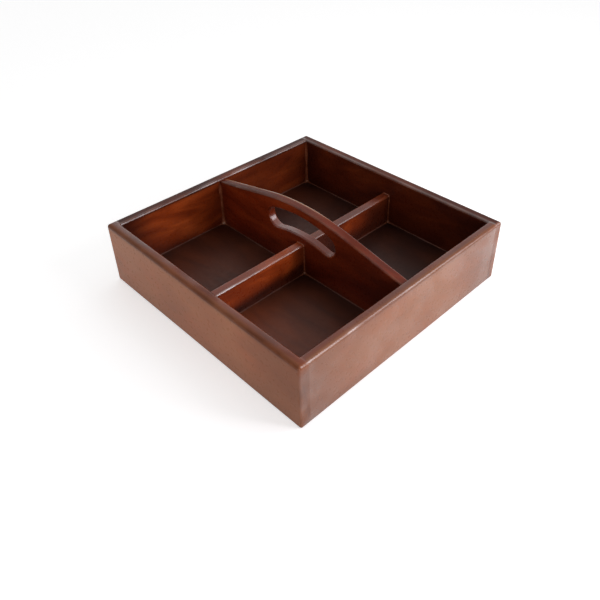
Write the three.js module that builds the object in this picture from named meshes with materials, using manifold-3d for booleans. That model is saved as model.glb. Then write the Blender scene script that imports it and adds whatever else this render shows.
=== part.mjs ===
// A square serving tray of dark stained wood: four walls round a grooved-in base, an arched handle
// board across the middle with a grip slot, and a low cross divider that laps through the handle.
// Millimetres, +Z up. The origin is at the middle of the underside, on the table.

import * as THREE from 'three';
import { mergeVertices } from 'three/addons/utils/BufferGeometryUtils.js';
import Module from 'manifold-3d';

const wasm = await Module();
wasm.setup();

// Walls
const TRAY_LENGTH = 254; // along X, over the walls
const TRAY_BREADTH = 254; // along Y, over the walls
const WALL_HEIGHT = 63;
const WALL_THICKNESS = 9.5;
const EDGE_ROUND = 3; // round on the walls' top edges
const TOP_CORNER_ROUND = 1.5; // round left at the corners of the flat top, inside the edge's round
const FOOT_ROUND = 1.5; // round on the edges that the walls stand on

// Base panel and its groove
const BASE_THICKNESS = 6;
const BASE_RECESS = 4; // from the table up to the panel's underside
const GROOVE_DEPTH = 4;
const BASE_PLAY = 0.4; // room for the panel to swell in the groove, on each side

// Handle board
const HANDLE_THICKNESS = 9;
const HANDLE_RISE = 17; // crown of the arch above the walls
const CROWN_RADIUS = 235;
const RAMP_ANGLE = THREE.MathUtils.degToRad(12); // fall of the straight runs on both sides of the crown
const HANDLE_ROUND = 2;

// Grip slot, a band of even height bent along an arc
const GRIP_BAR = 9.5; // wood left above the slot at the crown
const GRIP_HEIGHT = 20.5;
const GRIP_LENGTH = 86;
const GRIP_RADIUS = 120; // along the slot's middle line

// Cross divider
const DIVIDER_THICKNESS = 9;
const DIVIDER_HEIGHT = 32.5; // above the base panel
const DIVIDER_ROUND = 2;

// Joints between the boards
const HOUSING_DEPTH = 3; // how far the handle and the divider enter the walls
const FIT_GAP = 0.15; // glue gap round a piece in its housing, lap or hole

// Steel brads, punched in below the surface
const BRAD_LENGTH = 25;
const BRAD_DIAMETER = 1.4;
const BRAD_HEAD_DIAMETER = 2.2;
const BRAD_HEAD_HEIGHT = 0.8;
const BRAD_POINT = 2;
const BRAD_SETTING = 1.2; // from the wall's outer face down to the head
const BRAD_MARGIN = 10; // from the ends of a joint to its outermost brads
const CORNER_BRADS = 3;
const HANDLE_BRADS = 2;
const DIVIDER_BRADS = 2;

// Fineness of the rounds
const ARC_SEGMENTS = 6;
const EDGE_SEGMENTS = 3;
const BRAD_SIDES = 8;

// Sides of the middle that the tray's corners lie on, counter-clockwise from the right rear
const CORNER_SIGNS = [[1, 1], [-1, 1], [-1, -1], [1, -1]];

// Places that follow from the sizes above
const halfLength = TRAY_LENGTH / 2;
const halfBreadth = TRAY_BREADTH / 2;
const innerHalfLength = halfLength - WALL_THICKNESS;
const innerHalfBreadth = halfBreadth - WALL_THICKNESS;
const baseTop = BASE_RECESS + BASE_THICKNESS;
const crownHeight = WALL_HEIGHT + HANDLE_RISE;
const handleEnd = innerHalfLength + HOUSING_DEPTH - FIT_GAP;
const dividerEnd = innerHalfBreadth + HOUSING_DEPTH - FIT_GAP;
const dividerTop = baseTop + DIVIDER_HEIGHT;
const lapHeight = baseTop + DIVIDER_HEIGHT / 2;
const crownCentre = crownHeight - CROWN_RADIUS;
const rampStart = CROWN_RADIUS * Math.sin(RAMP_ANGLE);

// Height of the arch's top edge on a straight run, at a distance from the middle of the handle
function rampHeight(distance) {
  const startHeight = crownCentre + CROWN_RADIUS * Math.cos(RAMP_ANGLE);
  return startHeight - (distance - rampStart) * Math.tan(RAMP_ANGLE);
}

const handleEndHeight = rampHeight(innerHalfLength);

const stainedWood = new THREE.MeshStandardMaterial({ color: 0x4a2115, roughness: 0.32, metalness: 0 });
const stainedFloor = new THREE.MeshStandardMaterial({ color: 0x35190f, roughness: 0.38, metalness: 0 });
const bradSteel = new THREE.MeshStandardMaterial({ color: 0x9a9a98, roughness: 0.4, metalness: 1 });

// Solid from a closed geometry whose shared corners are merged first
function solidOf(geometry) {
  const bare = geometry.clone();
  bare.deleteAttribute('normal');
  bare.deleteAttribute('uv');
  const merged = mergeVertices(bare);
  const triVerts = Uint32Array.from(merged.index.array);
  const vertProperties = Float32Array.from(merged.attributes.position.array);
  return new wasm.Manifold(new wasm.Mesh({ numProp: 3, vertProperties, triVerts }));
}

function geometryOf(solid) {
  const mesh = solid.getMesh();
  const geometry = new THREE.BufferGeometry();
  geometry.setAttribute('position', new THREE.BufferAttribute(mesh.vertProperties, 3));
  geometry.setIndex(new THREE.BufferAttribute(mesh.triVerts, 1));
  geometry.computeVertexNormals();
  return geometry;
}

// Box between two opposite corners
function boxBetween(low, high) {
  const size = new THREE.Vector3().subVectors(high, low);
  const middle = new THREE.Vector3().addVectors(low, high).multiplyScalar(0.5);
  const geometry = new THREE.BoxGeometry(size.x, size.y, size.z);
  return solidOf(geometry.translate(middle.x, middle.y, middle.z));
}

function point(x, y, z) {
  return new THREE.Vector3(x, y, z);
}

// Turns an extrusion of an outline in X and Z so that it runs along Y, centred on Y = 0
function alongBreadth(geometry, thickness) {
  return geometry.translate(0, 0, -thickness / 2).rotateX(Math.PI / 2);
}

// Steel brad with its head at the origin and its point along +Y, grown all over by a gap
function bradGeometry(gap) {
  const shank = BRAD_DIAMETER / 2 + gap;
  const head = BRAD_HEAD_DIAMETER / 2 + gap;
  const profile = [
    new THREE.Vector2(0, -gap),
    new THREE.Vector2(head, -gap),
    new THREE.Vector2(head, BRAD_HEAD_HEIGHT + gap),
    new THREE.Vector2(shank, BRAD_HEAD_HEIGHT + gap),
    new THREE.Vector2(shank, BRAD_LENGTH - BRAD_POINT + gap),
    new THREE.Vector2(0, BRAD_LENGTH + gap),
  ];
  return new THREE.LatheGeometry(profile, BRAD_SIDES);
}

// Where each side's brads start and which way they are driven: the turn about Z takes +Y to that way
const DRIVEN_FROM = {
  front: { turn: 0, start: (x) => point(x, -halfBreadth + BRAD_SETTING, 0) },
  back: { turn: Math.PI, start: (x) => point(x, halfBreadth - BRAD_SETTING, 0) },
  left: { turn: -Math.PI / 2, start: (y) => point(-halfLength + BRAD_SETTING, y, 0) },
  right: { turn: Math.PI / 2, start: (y) => point(halfLength - BRAD_SETTING, y, 0) },
};

// Row of brads, one above the other, between two heights of a joint
function bradRow(name, side, along, low, high, count) {
  const { turn, start } = DRIVEN_FROM[side];
  const first = low + BRAD_MARGIN;
  const step = (high - low - 2 * BRAD_MARGIN) / (count - 1);
  return Array.from({ length: count }, (_, i) => {
    const place = start(along).setZ(first + i * step);
    return { name: `${name}_${i + 1}`, side, place, turn };
  });
}

function cornerBrads() {
  const sideMiddle = halfLength - WALL_THICKNESS / 2;
  return ['front', 'back'].flatMap((side) => [
    ...bradRow(`corner_brad_${side}_left`, side, -sideMiddle, baseTop, WALL_HEIGHT, CORNER_BRADS),
    ...bradRow(`corner_brad_${side}_right`, side, sideMiddle, baseTop, WALL_HEIGHT, CORNER_BRADS),
  ]);
}

function handleBrads() {
  return ['left', 'right'].flatMap((side) =>
    bradRow(`handle_brad_${side}`, side, 0, baseTop, handleEndHeight, HANDLE_BRADS));
}

function dividerBrads() {
  return ['front', 'back'].flatMap((side) =>
    bradRow(`divider_brad_${side}`, side, 0, baseTop, dividerTop, DIVIDER_BRADS));
}

const brads = [...cornerBrads(), ...handleBrads(), ...dividerBrads()];

// Hole for a brad, with the glue gap round it
function bradHole(brad) {
  const { x, y, z } = brad.place;
  return solidOf(bradGeometry(FIT_GAP).rotateZ(brad.turn).translate(x, y, z));
}

function drilled(board, holes) {
  return holes.reduce((wood, brad) => wood.subtract(bradHole(brad)), board);
}

// Steps of a rounded edge, from the face to the flat: how far in from the face, and how far from the flat
function roundSteps(radius) {
  return Array.from({ length: EDGE_SEGMENTS + 1 }, (_, i) => {
    const turn = (i / EDGE_SEGMENTS) * (Math.PI / 2);
    return { inset: radius * (1 - Math.cos(turn)), left: radius * (1 - Math.sin(turn)) };
  });
}

// Outline of the walls' outer faces set in by a distance, with rounded corners, counter-clockwise
function outerLoop(inset) {
  const corner = EDGE_ROUND + TOP_CORNER_ROUND;
  const steps = ARC_SEGMENTS / 2;
  return CORNER_SIGNS.flatMap(([x, y], quarter) => Array.from({ length: steps + 1 }, (_, i) => {
    const turn = (quarter + i / steps) * (Math.PI / 2);
    const alongX = x * (halfLength - corner) + (corner - inset) * Math.cos(turn);
    const alongY = y * (halfBreadth - corner) + (corner - inset) * Math.sin(turn);
    return new THREE.Vector2(alongX, alongY);
  }));
}

// Outline of the walls' inner faces set in by a distance, with square corners, clockwise
function innerLoop(inset) {
  const x = innerHalfLength + inset;
  const y = innerHalfBreadth + inset;
  return CORNER_SIGNS.map((sign) => new THREE.Vector2(sign[0] * x, sign[1] * y)).reverse();
}

// Ring of the four walls: both outlines carried up through the levels, closed at the foot and the top
function wallRing() {
  const foot = roundSteps(FOOT_ROUND).reverse().map(({ inset, left }) => ({ inset, z: left }));
  const rim = roundSteps(EDGE_ROUND).map(({ inset, left }) => ({ inset, z: WALL_HEIGHT - left }));
  const levels = [...foot, ...rim];
  const corners = [];
  const place = (z, ...plan) => plan.forEach(({ x, y }) => corners.push(x, y, z));
  const band = (low, high, loop) => {
    const under = loop(low.inset);
    const over = loop(high.inset);
    under.forEach((first, i) => {
      const next = (i + 1) % under.length;
      place(low.z, first, under[next]);
      place(high.z, over[next]);
      place(low.z, first);
      place(high.z, over[next], over[i]);
    });
  };
  levels.slice(1).forEach((high, i) => {
    band(levels[i], high, outerLoop);
    band(levels[i], high, innerLoop);
  });
  const flat = ({ inset, z }, up) => {
    const outer = outerLoop(inset);
    const inner = innerLoop(inset);
    const plan = [...outer, ...inner];
    THREE.ShapeUtils.triangulateShape(outer, [inner]).forEach((face) => {
      const turned = up ? face : [...face].reverse();
      place(z, ...turned.map((i) => plan[i]));
    });
  };
  flat(levels[0], false);
  flat(levels[levels.length - 1], true);
  const geometry = new THREE.BufferGeometry();
  geometry.setAttribute('position', new THREE.Float32BufferAttribute(corners, 3));
  return solidOf(geometry);
}

function baseGroove() {
  const x = innerHalfLength + GROOVE_DEPTH;
  const y = innerHalfBreadth + GROOVE_DEPTH;
  return boxBetween(point(-x, -y, BASE_RECESS), point(x, y, baseTop + FIT_GAP));
}

// Housings for the handle's ends, open at the bottom into the base's groove
function handleHousings() {
  const x = innerHalfLength + HOUSING_DEPTH;
  const y = HANDLE_THICKNESS / 2 + FIT_GAP;
  const low = baseTop - BASE_THICKNESS / 2;
  return boxBetween(point(-x, -y, low), point(x, y, handleEndHeight + FIT_GAP));
}

function dividerHousings() {
  const x = DIVIDER_THICKNESS / 2 + FIT_GAP;
  const y = innerHalfBreadth + HOUSING_DEPTH;
  const low = baseTop - BASE_THICKNESS / 2;
  return boxBetween(point(-x, -y, low), point(x, y, dividerTop + FIT_GAP));
}

// The four walls: the ring cut where the side walls butt, by a glue gap, against the front and back walls
function walls() {
  const ring = wallRing().subtract(baseGroove()).subtract(handleHousings()).subtract(dividerHousings());
  const far = WALL_THICKNESS;
  const bottom = -far;
  const top = WALL_HEIGHT + far;
  const x = halfLength + far;
  const y = halfBreadth + far;
  const butt = innerHalfBreadth - FIT_GAP;
  const blocks = {
    front_wall: boxBetween(point(-x, -y, bottom), point(x, -innerHalfBreadth, top)),
    back_wall: boxBetween(point(-x, innerHalfBreadth, bottom), point(x, y, top)),
    left_wall: boxBetween(point(-x, -butt, bottom), point(0, butt, top)),
    right_wall: boxBetween(point(0, -butt, bottom), point(x, butt, top)),
  };
  return Object.entries(blocks).map(([name, block]) => [name, drilled(ring.intersect(block), brads)]);
}

function basePanel() {
  const x = innerHalfLength + GROOVE_DEPTH - BASE_PLAY;
  const y = innerHalfBreadth + GROOVE_DEPTH - BASE_PLAY;
  return boxBetween(point(-x, -y, BASE_RECESS), point(x, y, baseTop));
}

// Grip slot's outline: two arcs about the same centre, closed by half rounds
function gripOutline() {
  const half = GRIP_HEIGHT / 2;
  const middle = crownHeight - GRIP_BAR - half;
  const centre = middle - GRIP_RADIUS;
  const endX = GRIP_LENGTH / 2 - half;
  const spread = Math.asin(endX / GRIP_RADIUS);
  const endZ = centre + GRIP_RADIUS * Math.cos(spread);
  const right = Math.PI / 2 - spread;
  const left = Math.PI / 2 + spread;
  const slot = new THREE.Path();
  slot.absarc(0, centre, GRIP_RADIUS + half, left, right, true);
  slot.absarc(endX, endZ, half, right, right - Math.PI, true);
  slot.absarc(0, centre, GRIP_RADIUS - half, right, left, false);
  slot.absarc(-endX, endZ, half, left + Math.PI, left, true);
  slot.closePath();
  return slot;
}

// Handle board: the arch and the slot are rounded, and the foot and the ends are cut square
function handleBoard() {
  const spare = 2 * HANDLE_ROUND;
  const farEnd = handleEnd + spare;
  const farFoot = baseTop - spare;
  const arch = new THREE.Shape();
  arch.moveTo(-farEnd, farFoot);
  arch.lineTo(farEnd, farFoot);
  arch.lineTo(farEnd, rampHeight(farEnd));
  arch.absarc(0, crownCentre, CROWN_RADIUS, Math.PI / 2 - RAMP_ANGLE, Math.PI / 2 + RAMP_ANGLE, false);
  arch.lineTo(-farEnd, rampHeight(farEnd));
  arch.closePath();
  arch.holes.push(gripOutline());
  const geometry = new THREE.ExtrudeGeometry(arch, {
    depth: HANDLE_THICKNESS - 2 * HANDLE_ROUND,
    curveSegments: ARC_SEGMENTS,
    bevelThickness: HANDLE_ROUND,
    bevelSize: HANDLE_ROUND,
    bevelOffset: -HANDLE_ROUND,
    bevelSegments: EDGE_SEGMENTS,
  });
  const board = solidOf(alongBreadth(geometry, HANDLE_THICKNESS - 2 * HANDLE_ROUND));
  const y = HANDLE_THICKNESS;
  const trim = boxBetween(point(-handleEnd, -y, baseTop), point(handleEnd, y, crownHeight + spare));
  const lapX = DIVIDER_THICKNESS / 2 + FIT_GAP;
  const lap = boxBetween(point(-lapX, -y, farFoot), point(lapX, y, lapHeight + FIT_GAP));
  return drilled(board.intersect(trim).subtract(lap), handleBrads());
}

// Cross divider: a rounded top edge, and a lap cut from above for the handle
function crossDivider() {
  const x = DIVIDER_THICKNESS / 2;
  const roundTop = dividerTop - DIVIDER_ROUND;
  const section = new THREE.Shape();
  section.moveTo(-x, baseTop);
  section.lineTo(x, baseTop);
  section.absarc(x - DIVIDER_ROUND, roundTop, DIVIDER_ROUND, 0, Math.PI / 2, false);
  section.absarc(-x + DIVIDER_ROUND, roundTop, DIVIDER_ROUND, Math.PI / 2, Math.PI, false);
  section.closePath();
  const geometry = new THREE.ExtrudeGeometry(section, {
    depth: 2 * dividerEnd,
    curveSegments: ARC_SEGMENTS / 2,
    bevelEnabled: false,
  });
  const board = solidOf(alongBreadth(geometry, 2 * dividerEnd));
  const lapY = HANDLE_THICKNESS / 2 + FIT_GAP;
  const lap = boxBetween(point(-2 * x, -lapY, lapHeight), point(2 * x, lapY, dividerTop + DIVIDER_ROUND));
  return drilled(board.subtract(lap), dividerBrads());
}

function boardMesh(name, solid, material) {
  const mesh = new THREE.Mesh(geometryOf(solid), material);
  mesh.name = name;
  return mesh;
}

function bradMesh(brad) {
  const mesh = new THREE.Mesh(bradGeometry(0), bradSteel);
  mesh.name = brad.name;
  mesh.position.copy(brad.place);
  mesh.rotation.z = brad.turn;
  return mesh;
}

const tray = new THREE.Group();
tray.name = 'compartment_serving_tray';
walls().forEach(([name, solid]) => tray.add(boardMesh(name, solid, stainedWood)));
tray.add(boardMesh('base_panel', basePanel(), stainedFloor));
tray.add(boardMesh('handle_board', handleBoard(), stainedWood));
tray.add(boardMesh('cross_divider', crossDivider(), stainedWood));
brads.forEach((brad) => tray.add(bradMesh(brad)));

export default tray;
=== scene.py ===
"""Dresses the compartment serving tray: stained and lacquered boards, lacquer beads, studio, camera.

Metres, +Z up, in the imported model's own frame. The origin is at the middle of the underside, X runs
along the handle board, and Y runs from the front wall to the back wall.
"""

import logging
import math
from dataclasses import dataclass, field, replace
from enum import Enum

import bmesh
import bpy
import numpy as np
from mathutils import Matrix, Vector


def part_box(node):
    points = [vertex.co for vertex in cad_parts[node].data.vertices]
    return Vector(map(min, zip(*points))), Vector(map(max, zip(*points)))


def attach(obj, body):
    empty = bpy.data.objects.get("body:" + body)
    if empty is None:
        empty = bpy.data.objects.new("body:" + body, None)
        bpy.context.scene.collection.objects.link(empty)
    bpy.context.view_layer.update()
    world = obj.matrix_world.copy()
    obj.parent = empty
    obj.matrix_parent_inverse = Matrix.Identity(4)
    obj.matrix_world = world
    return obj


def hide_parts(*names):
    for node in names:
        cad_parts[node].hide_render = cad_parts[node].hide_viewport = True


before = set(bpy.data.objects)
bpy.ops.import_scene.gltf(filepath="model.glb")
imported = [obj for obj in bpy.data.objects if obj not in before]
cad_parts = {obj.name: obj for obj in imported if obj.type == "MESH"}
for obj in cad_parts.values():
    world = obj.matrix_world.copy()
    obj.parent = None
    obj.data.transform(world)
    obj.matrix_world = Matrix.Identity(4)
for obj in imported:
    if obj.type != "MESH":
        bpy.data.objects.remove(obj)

LOG = logging.getLogger("serving_tray")

MM = 0.001
BODY = "root"
WOOD_SLOT = "lacquered_wood"
FLOOR_SLOT = "lacquered_floor"
# Marks on the meshes. painted_shade is the share of painted shade: a dark colour laid where shade falls.
PAINTED_SHADE = "painted_shade"
RUB = "rub"
# Share of a paler stain on outer faces, partly painted sheen, and of painted highlights.
PALE_STAIN_AND_SHEEN = "pale_stain_and_sheen"
SHEEN = "sheen"
WELD_GRID = 0.0005 * MM
NUDGE = 1e-9
SHARP_ANGLE = math.radians(32)
ARC_STEPS = 7
FACE_MARGIN = 0.4 * MM
PLANED_BY = 0.07 * MM
BEAD_SUNK = 0.1 * MM
# Share of painted shade on the floor bead, which is also made matt, away from the corners.
BEAD_SHADE_AND_MATT = 0.75

# Painted shade changes from one compartment to the next over this much on each side, under the boards.
UNDER_BOARD = 3 * MM

# The crest of a rounded board starts at this share of the round and fades over this distance.
CREST_START = 0.6
CREST_REACH = 0.8 * MM

# Weights of the clear coat.
TOP_COAT = 0.1
END_COAT = 0.42
END_ROUND_COAT = 1.0
SLOT_COAT = 0.9
FACE_COAT = 0.15
HANDLE_COAT = 0.22
ROUND_COAT = 1.0

Array = np.ndarray
Colour = tuple[float, float, float]
Socket = bpy.types.NodeSocket


class Grain(Enum):
    """Which way the fibres of a board run."""

    LENGTHWISE = 0
    CROSSWISE = 1


class Side(Enum):
    """A side of the tray: the axis its wall runs along, and which way it faces on the other axis."""

    FRONT = (0, -1)
    BACK = (0, 1)
    LEFT = (1, -1)
    RIGHT = (1, 1)

    @property
    def along(self) -> int:
        """Number of the axis that the wall runs along."""
        return self.value[0]

    @property
    def outward(self) -> int:
        """Sign of the wall's outer face on the other axis."""
        return self.value[1]

    @property
    def runs_through(self) -> bool:
        """True for the front and back walls, which cover the ends of the side walls."""
        return self.along == 0

    @property
    def node(self) -> str:
        """Name of the wall's CAD node."""
        return f"{self.name.lower()}_wall"


def room() -> Array:
    """Half the length and half the breadth between the walls' inner faces."""
    return np.array([-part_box("left_wall")[1][0], -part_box("front_wall")[1][1]])


def fade(distance: Array, reach: float) -> Array:
    """Falls from 1 at no distance towards 0, by a factor of e for each reach.

    Args:
        distance: Distances, taken as 0 where negative.
        reach: Distance over which it falls to about a third.

    Returns:
        The falling values.
    """
    return np.exp(-np.maximum(distance, 0) / reach)


def ramp(value: Array, low: Array | float, high: Array | float) -> Array:
    """Rises smoothly from 0 at one value to 1 at another: 3 t^2 - 2 t^3 of the share t of the way.

    Args:
        value: Values.
        low: Value at which the rise starts.
        high: Value at which it ends.

    Returns:
        The rising values.
    """
    share = np.clip((value - low) / (high - low), 0, 1)
    return share**2 * (3 - 2 * share)


def supported(low: float, high: float, count: int, margin: float) -> Array:
    """Even steps between two values, with one more step close inside each end to keep faces flat.

    Args:
        low: First value, left out.
        high: Last value, left out.
        count: Number of even steps between the two close ones.
        margin: Distance of the close steps from the ends.

    Returns:
        The values, from the low end to the high end.
    """
    sign = math.copysign(1, high - low)
    return np.linspace(low + sign * margin, high - sign * margin, count + 2)


def blend(under: Array | float, over: Array | float, share: Array | float) -> Array:
    """Goes from one value to another by a share of the way."""
    return under + (over - under) * share


def layered(*passes: Array) -> Array:
    """Painted shade after several layers, each of which covers its share of what is still bare.

    Args:
        passes: Share that each pass covers.

    Returns:
        One less the product of the shares that the passes leave bare.
    """
    bare = 1.0
    for share in passes:
        bare = bare * (1 - share)
    return 1 - bare


def beside_cuts(plain: Array, cuts: Array) -> tuple[Array, Array]:
    """Puts two places at each cut, and moves them a hair apart to tell what lies on its two sides.

    Args:
        plain: Places away from the cuts.
        cuts: Places of the cuts.

    Returns:
        All places in rising order, and the same with those at the cuts moved.
    """
    places = np.concatenate([plain, cuts, cuts])
    moved = np.concatenate([plain, cuts - NUDGE, cuts + NUDGE])
    order = np.argsort(moved)
    return places[order], moved[order]


def hollow_round(radius: Array, steps: int) -> tuple[Array, Array]:
    """Section of a bead: a hollow quarter round, closed by a corner sunk into the two faces.

    At angle q it stands r (1 - sin q) off one face and r (1 - cos q) off the other.

    Args:
        radius: Radius of the bead at each row.
        steps: Number of places on the round.

    Returns:
        Distances off the first and the second face, rows by columns.
    """
    angle = np.linspace(0, math.pi / 2, steps)
    sunk = np.full((len(radius), 1), -BEAD_SUNK)
    first = radius[:, None] * (1 - np.sin(angle))
    second = radius[:, None] * (1 - np.cos(angle))
    return (
        np.concatenate([first[:, :1], first, sunk, sunk], axis=1),
        np.concatenate([sunk, second, second[:, -1:], sunk], axis=1),
    )


@dataclass(frozen=True)
class PaintedShadeBand:
    """A band of painted shade along an edge or a joint: its share there, and the distance over which it
    fades.
    """

    share: float
    reach: float

    def at(self, distance: Array) -> Array:
        """Share of painted shade at each distance from the edge."""
        return self.share * fade(distance, self.reach)


def hand_planed(points: Array) -> Array:
    """Bends boards a hair out of true, as planing and sanding by hand leaves them.

    Each axis moves by a product of two slow sines of the place, under a tenth of a millimetre. The
    same bend for every board keeps the joints closed.

    Args:
        points: Places, any number by three.

    Returns:
        The moved places.
    """
    x, y, z = (points / MM).T
    lift = np.clip(z / 20, 0, 1)
    move = np.stack(
        [
            np.sin(y / 23 + 0.6) * np.cos(z / 19),
            np.sin(x / 27 + 1.9) * np.cos(z / 17 + 0.4),
            lift * np.sin(x / 31 + 0.3) * np.cos(y / 29),
        ],
        axis=-1,
    )
    return points + PLANED_BY * move


@dataclass
class Skin:
    """Surface on a grid whose columns close round a section, and what its finish reads at each corner.

    Attributes:
        points: Places, rows by columns by three.
        painted_shade: Share of painted shade, rows by columns or one for all, as in the next three.
        rub: Share of the wear on rounded edges.
        pale_stain_and_sheen: Share of the paler stain of outer faces, partly painted sheen; on some pieces
            a painted highlight.
        sheen: Weight of the clear coat.
        rows_close: True where the last row joins the first; otherwise both ends are capped.
    """

    points: Array
    painted_shade: Array | float = 0.0
    rub: Array | float = 0.0
    pale_stain_and_sheen: Array | float = 0.0
    sheen: Array | float = 0.0
    rows_close: bool = False

    def quads(self) -> Array:
        """Corner numbers of the faces between neighbouring rows and columns."""
        rows, columns = self.points.shape[:2]
        row, column = np.meshgrid(
            np.arange(rows if self.rows_close else rows - 1), np.arange(columns), indexing="ij"
        )
        next_row, next_column = (row + 1) % rows, (column + 1) % columns
        corners = [
            row * columns + column,
            next_row * columns + column,
            next_row * columns + next_column,
            row * columns + next_column,
        ]
        return np.stack(corners, axis=-1).reshape(-1, 4)

    def caps(self) -> list[Array]:
        """Corner numbers of the two end faces, or none where the rows close."""
        rows, columns = self.points.shape[:2]
        ring = np.arange(columns)
        return [] if self.rows_close else [ring, (rows - 1) * columns + ring[::-1]]

    def faces(self, place: Array) -> list[list[int]]:
        """Faces after welding: a square short of a corner becomes a triangle, and a flat one is dropped.

        Args:
            place: Number of the welded corner that each corner of the grid became.

        Returns:
            Corner numbers of each face.
        """
        quads = place[self.quads()]
        same = quads == np.roll(quads, -1, axis=1)
        folded = (quads[:, 0] == quads[:, 2]) | (quads[:, 1] == quads[:, 3])
        lost = same.sum(axis=1)
        found = quads[(lost == 0) & ~folded].tolist()
        for corner in range(4):
            short = quads[(lost == 1) & same[:, corner] & ~folded]
            found += np.delete(short, corner, axis=1).tolist()
        for cap in self.caps():
            ring = place[cap]
            ring = ring[ring != np.roll(ring, 1)]
            found += [ring.tolist()] if len(ring) > 2 else []
        return found

    def mesh(self, name: str) -> bpy.types.Mesh:
        """Welds the grid and puts it into a mesh, with smooth rounds and crisp corners.

        Args:
            name: Name of the mesh.

        Returns:
            The mesh, with its four marks as point attributes.
        """
        flat = self.points.reshape(-1, 3)
        keys = np.round(flat / WELD_GRID).astype(np.int64)
        _, first, place = np.unique(keys, axis=0, return_index=True, return_inverse=True)
        mesh = bpy.data.meshes.new(name)
        mesh.from_pydata(hand_planed(flat[first]).tolist(), [], self.faces(place.reshape(-1)))
        marks = {PAINTED_SHADE: self.painted_shade, RUB: self.rub, PALE_STAIN_AND_SHEEN: self.pale_stain_and_sheen, SHEEN: self.sheen}
        for mark, values in marks.items():
            layer = mesh.attributes.new(mark, "FLOAT", "POINT")
            shares = np.broadcast_to(values, self.points.shape[:2]).reshape(-1)
            layer.data.foreach_set("value", shares[first].astype(np.float32))
        return settle(mesh)


def settle(mesh: bpy.types.Mesh) -> bpy.types.Mesh:
    """Turns a mesh's faces outwards and shades its rounds smooth.

    Args:
        mesh: Mesh to finish.

    Returns:
        The same mesh.
    """
    work = bmesh.new()
    work.from_mesh(mesh)
    bmesh.ops.recalc_face_normals(work, faces=work.faces)
    work.to_mesh(mesh)
    work.free()
    mesh.shade_smooth()
    mesh.set_sharp_from_angle(angle=SHARP_ANGLE)
    mesh.validate()
    return mesh


def joined(name: str, skins: list[Skin]) -> bpy.types.Mesh:
    """Puts several surfaces into one mesh.

    Args:
        name: Name of the mesh.
        skins: The surfaces.

    Returns:
        The mesh.
    """
    work = bmesh.new()
    for number, skin in enumerate(skins):
        part = skin.mesh(f"{name}_{number}")
        work.from_mesh(part)
        bpy.data.meshes.remove(part)
    mesh = bpy.data.meshes.new(name)
    work.to_mesh(mesh)
    work.free()
    return settle(mesh)


def add_piece(
    name: str, mesh: bpy.types.Mesh, material: bpy.types.Material, slot: str, *nodes: str
) -> bpy.types.Object:
    """Puts a piece of the tray into the scene, on its body.

    Args:
        name: Name of the piece.
        mesh: Its mesh, in place.
        material: Its finish.
        slot: Not used.
        nodes: CAD nodes that it stands for.

    Returns:
        The piece.
    """
    piece = bpy.data.objects.new(name, mesh)
    bpy.context.scene.collection.objects.link(piece)
    mesh.materials.append(material)
    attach(piece, BODY)
    if nodes:
        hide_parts(*nodes)
    LOG.info("%s: %d faces, stands for %s", name, len(mesh.polygons), ", ".join(nodes) or "no node")
    return piece


@dataclass(frozen=True)
class Pattern:
    """Cloudy pattern, drawn out along the grain.

    Attributes:
        stretch: Clouds per metre along the fibres and across them.
        detail: Number of finer layers.
        rough: Strength of each finer layer.
        swirl: How far the clouds are drawn out of shape.
    """

    stretch: tuple[float, float]
    detail: float
    rough: float
    swirl: float = 0.0


FIGURE = Pattern((14, 50), 5, 0.55, 1.1)
BLOTCHES = Pattern((17, 26), 3, 0.5, 0.4)
FIBRES = Pattern((55, 950), 4, 0.6, 0.2)
PORES = Pattern((150, 2300), 2, 0.5)
SPRAY_PEEL = Pattern((260, 260), 2, 0.5)
SPRAY_POOLS = Pattern((22, 34), 2, 0.5, 0.5)
WORN_SPOTS = Pattern((60, 140), 3, 0.6)
LACQUER_RUNS = Pattern((140, 140), 3, 0.55)
DRAWN_LINES = Pattern((900, 4000), 3, 0.6)

# Most values of a pattern lie in this range.
CLOUD_RANGE = (0.3, 0.7)
SPRAY_SHIFT = (1.4, 0.8, 2.6)
NO_SHIFT = (0, 0, 0)


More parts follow.
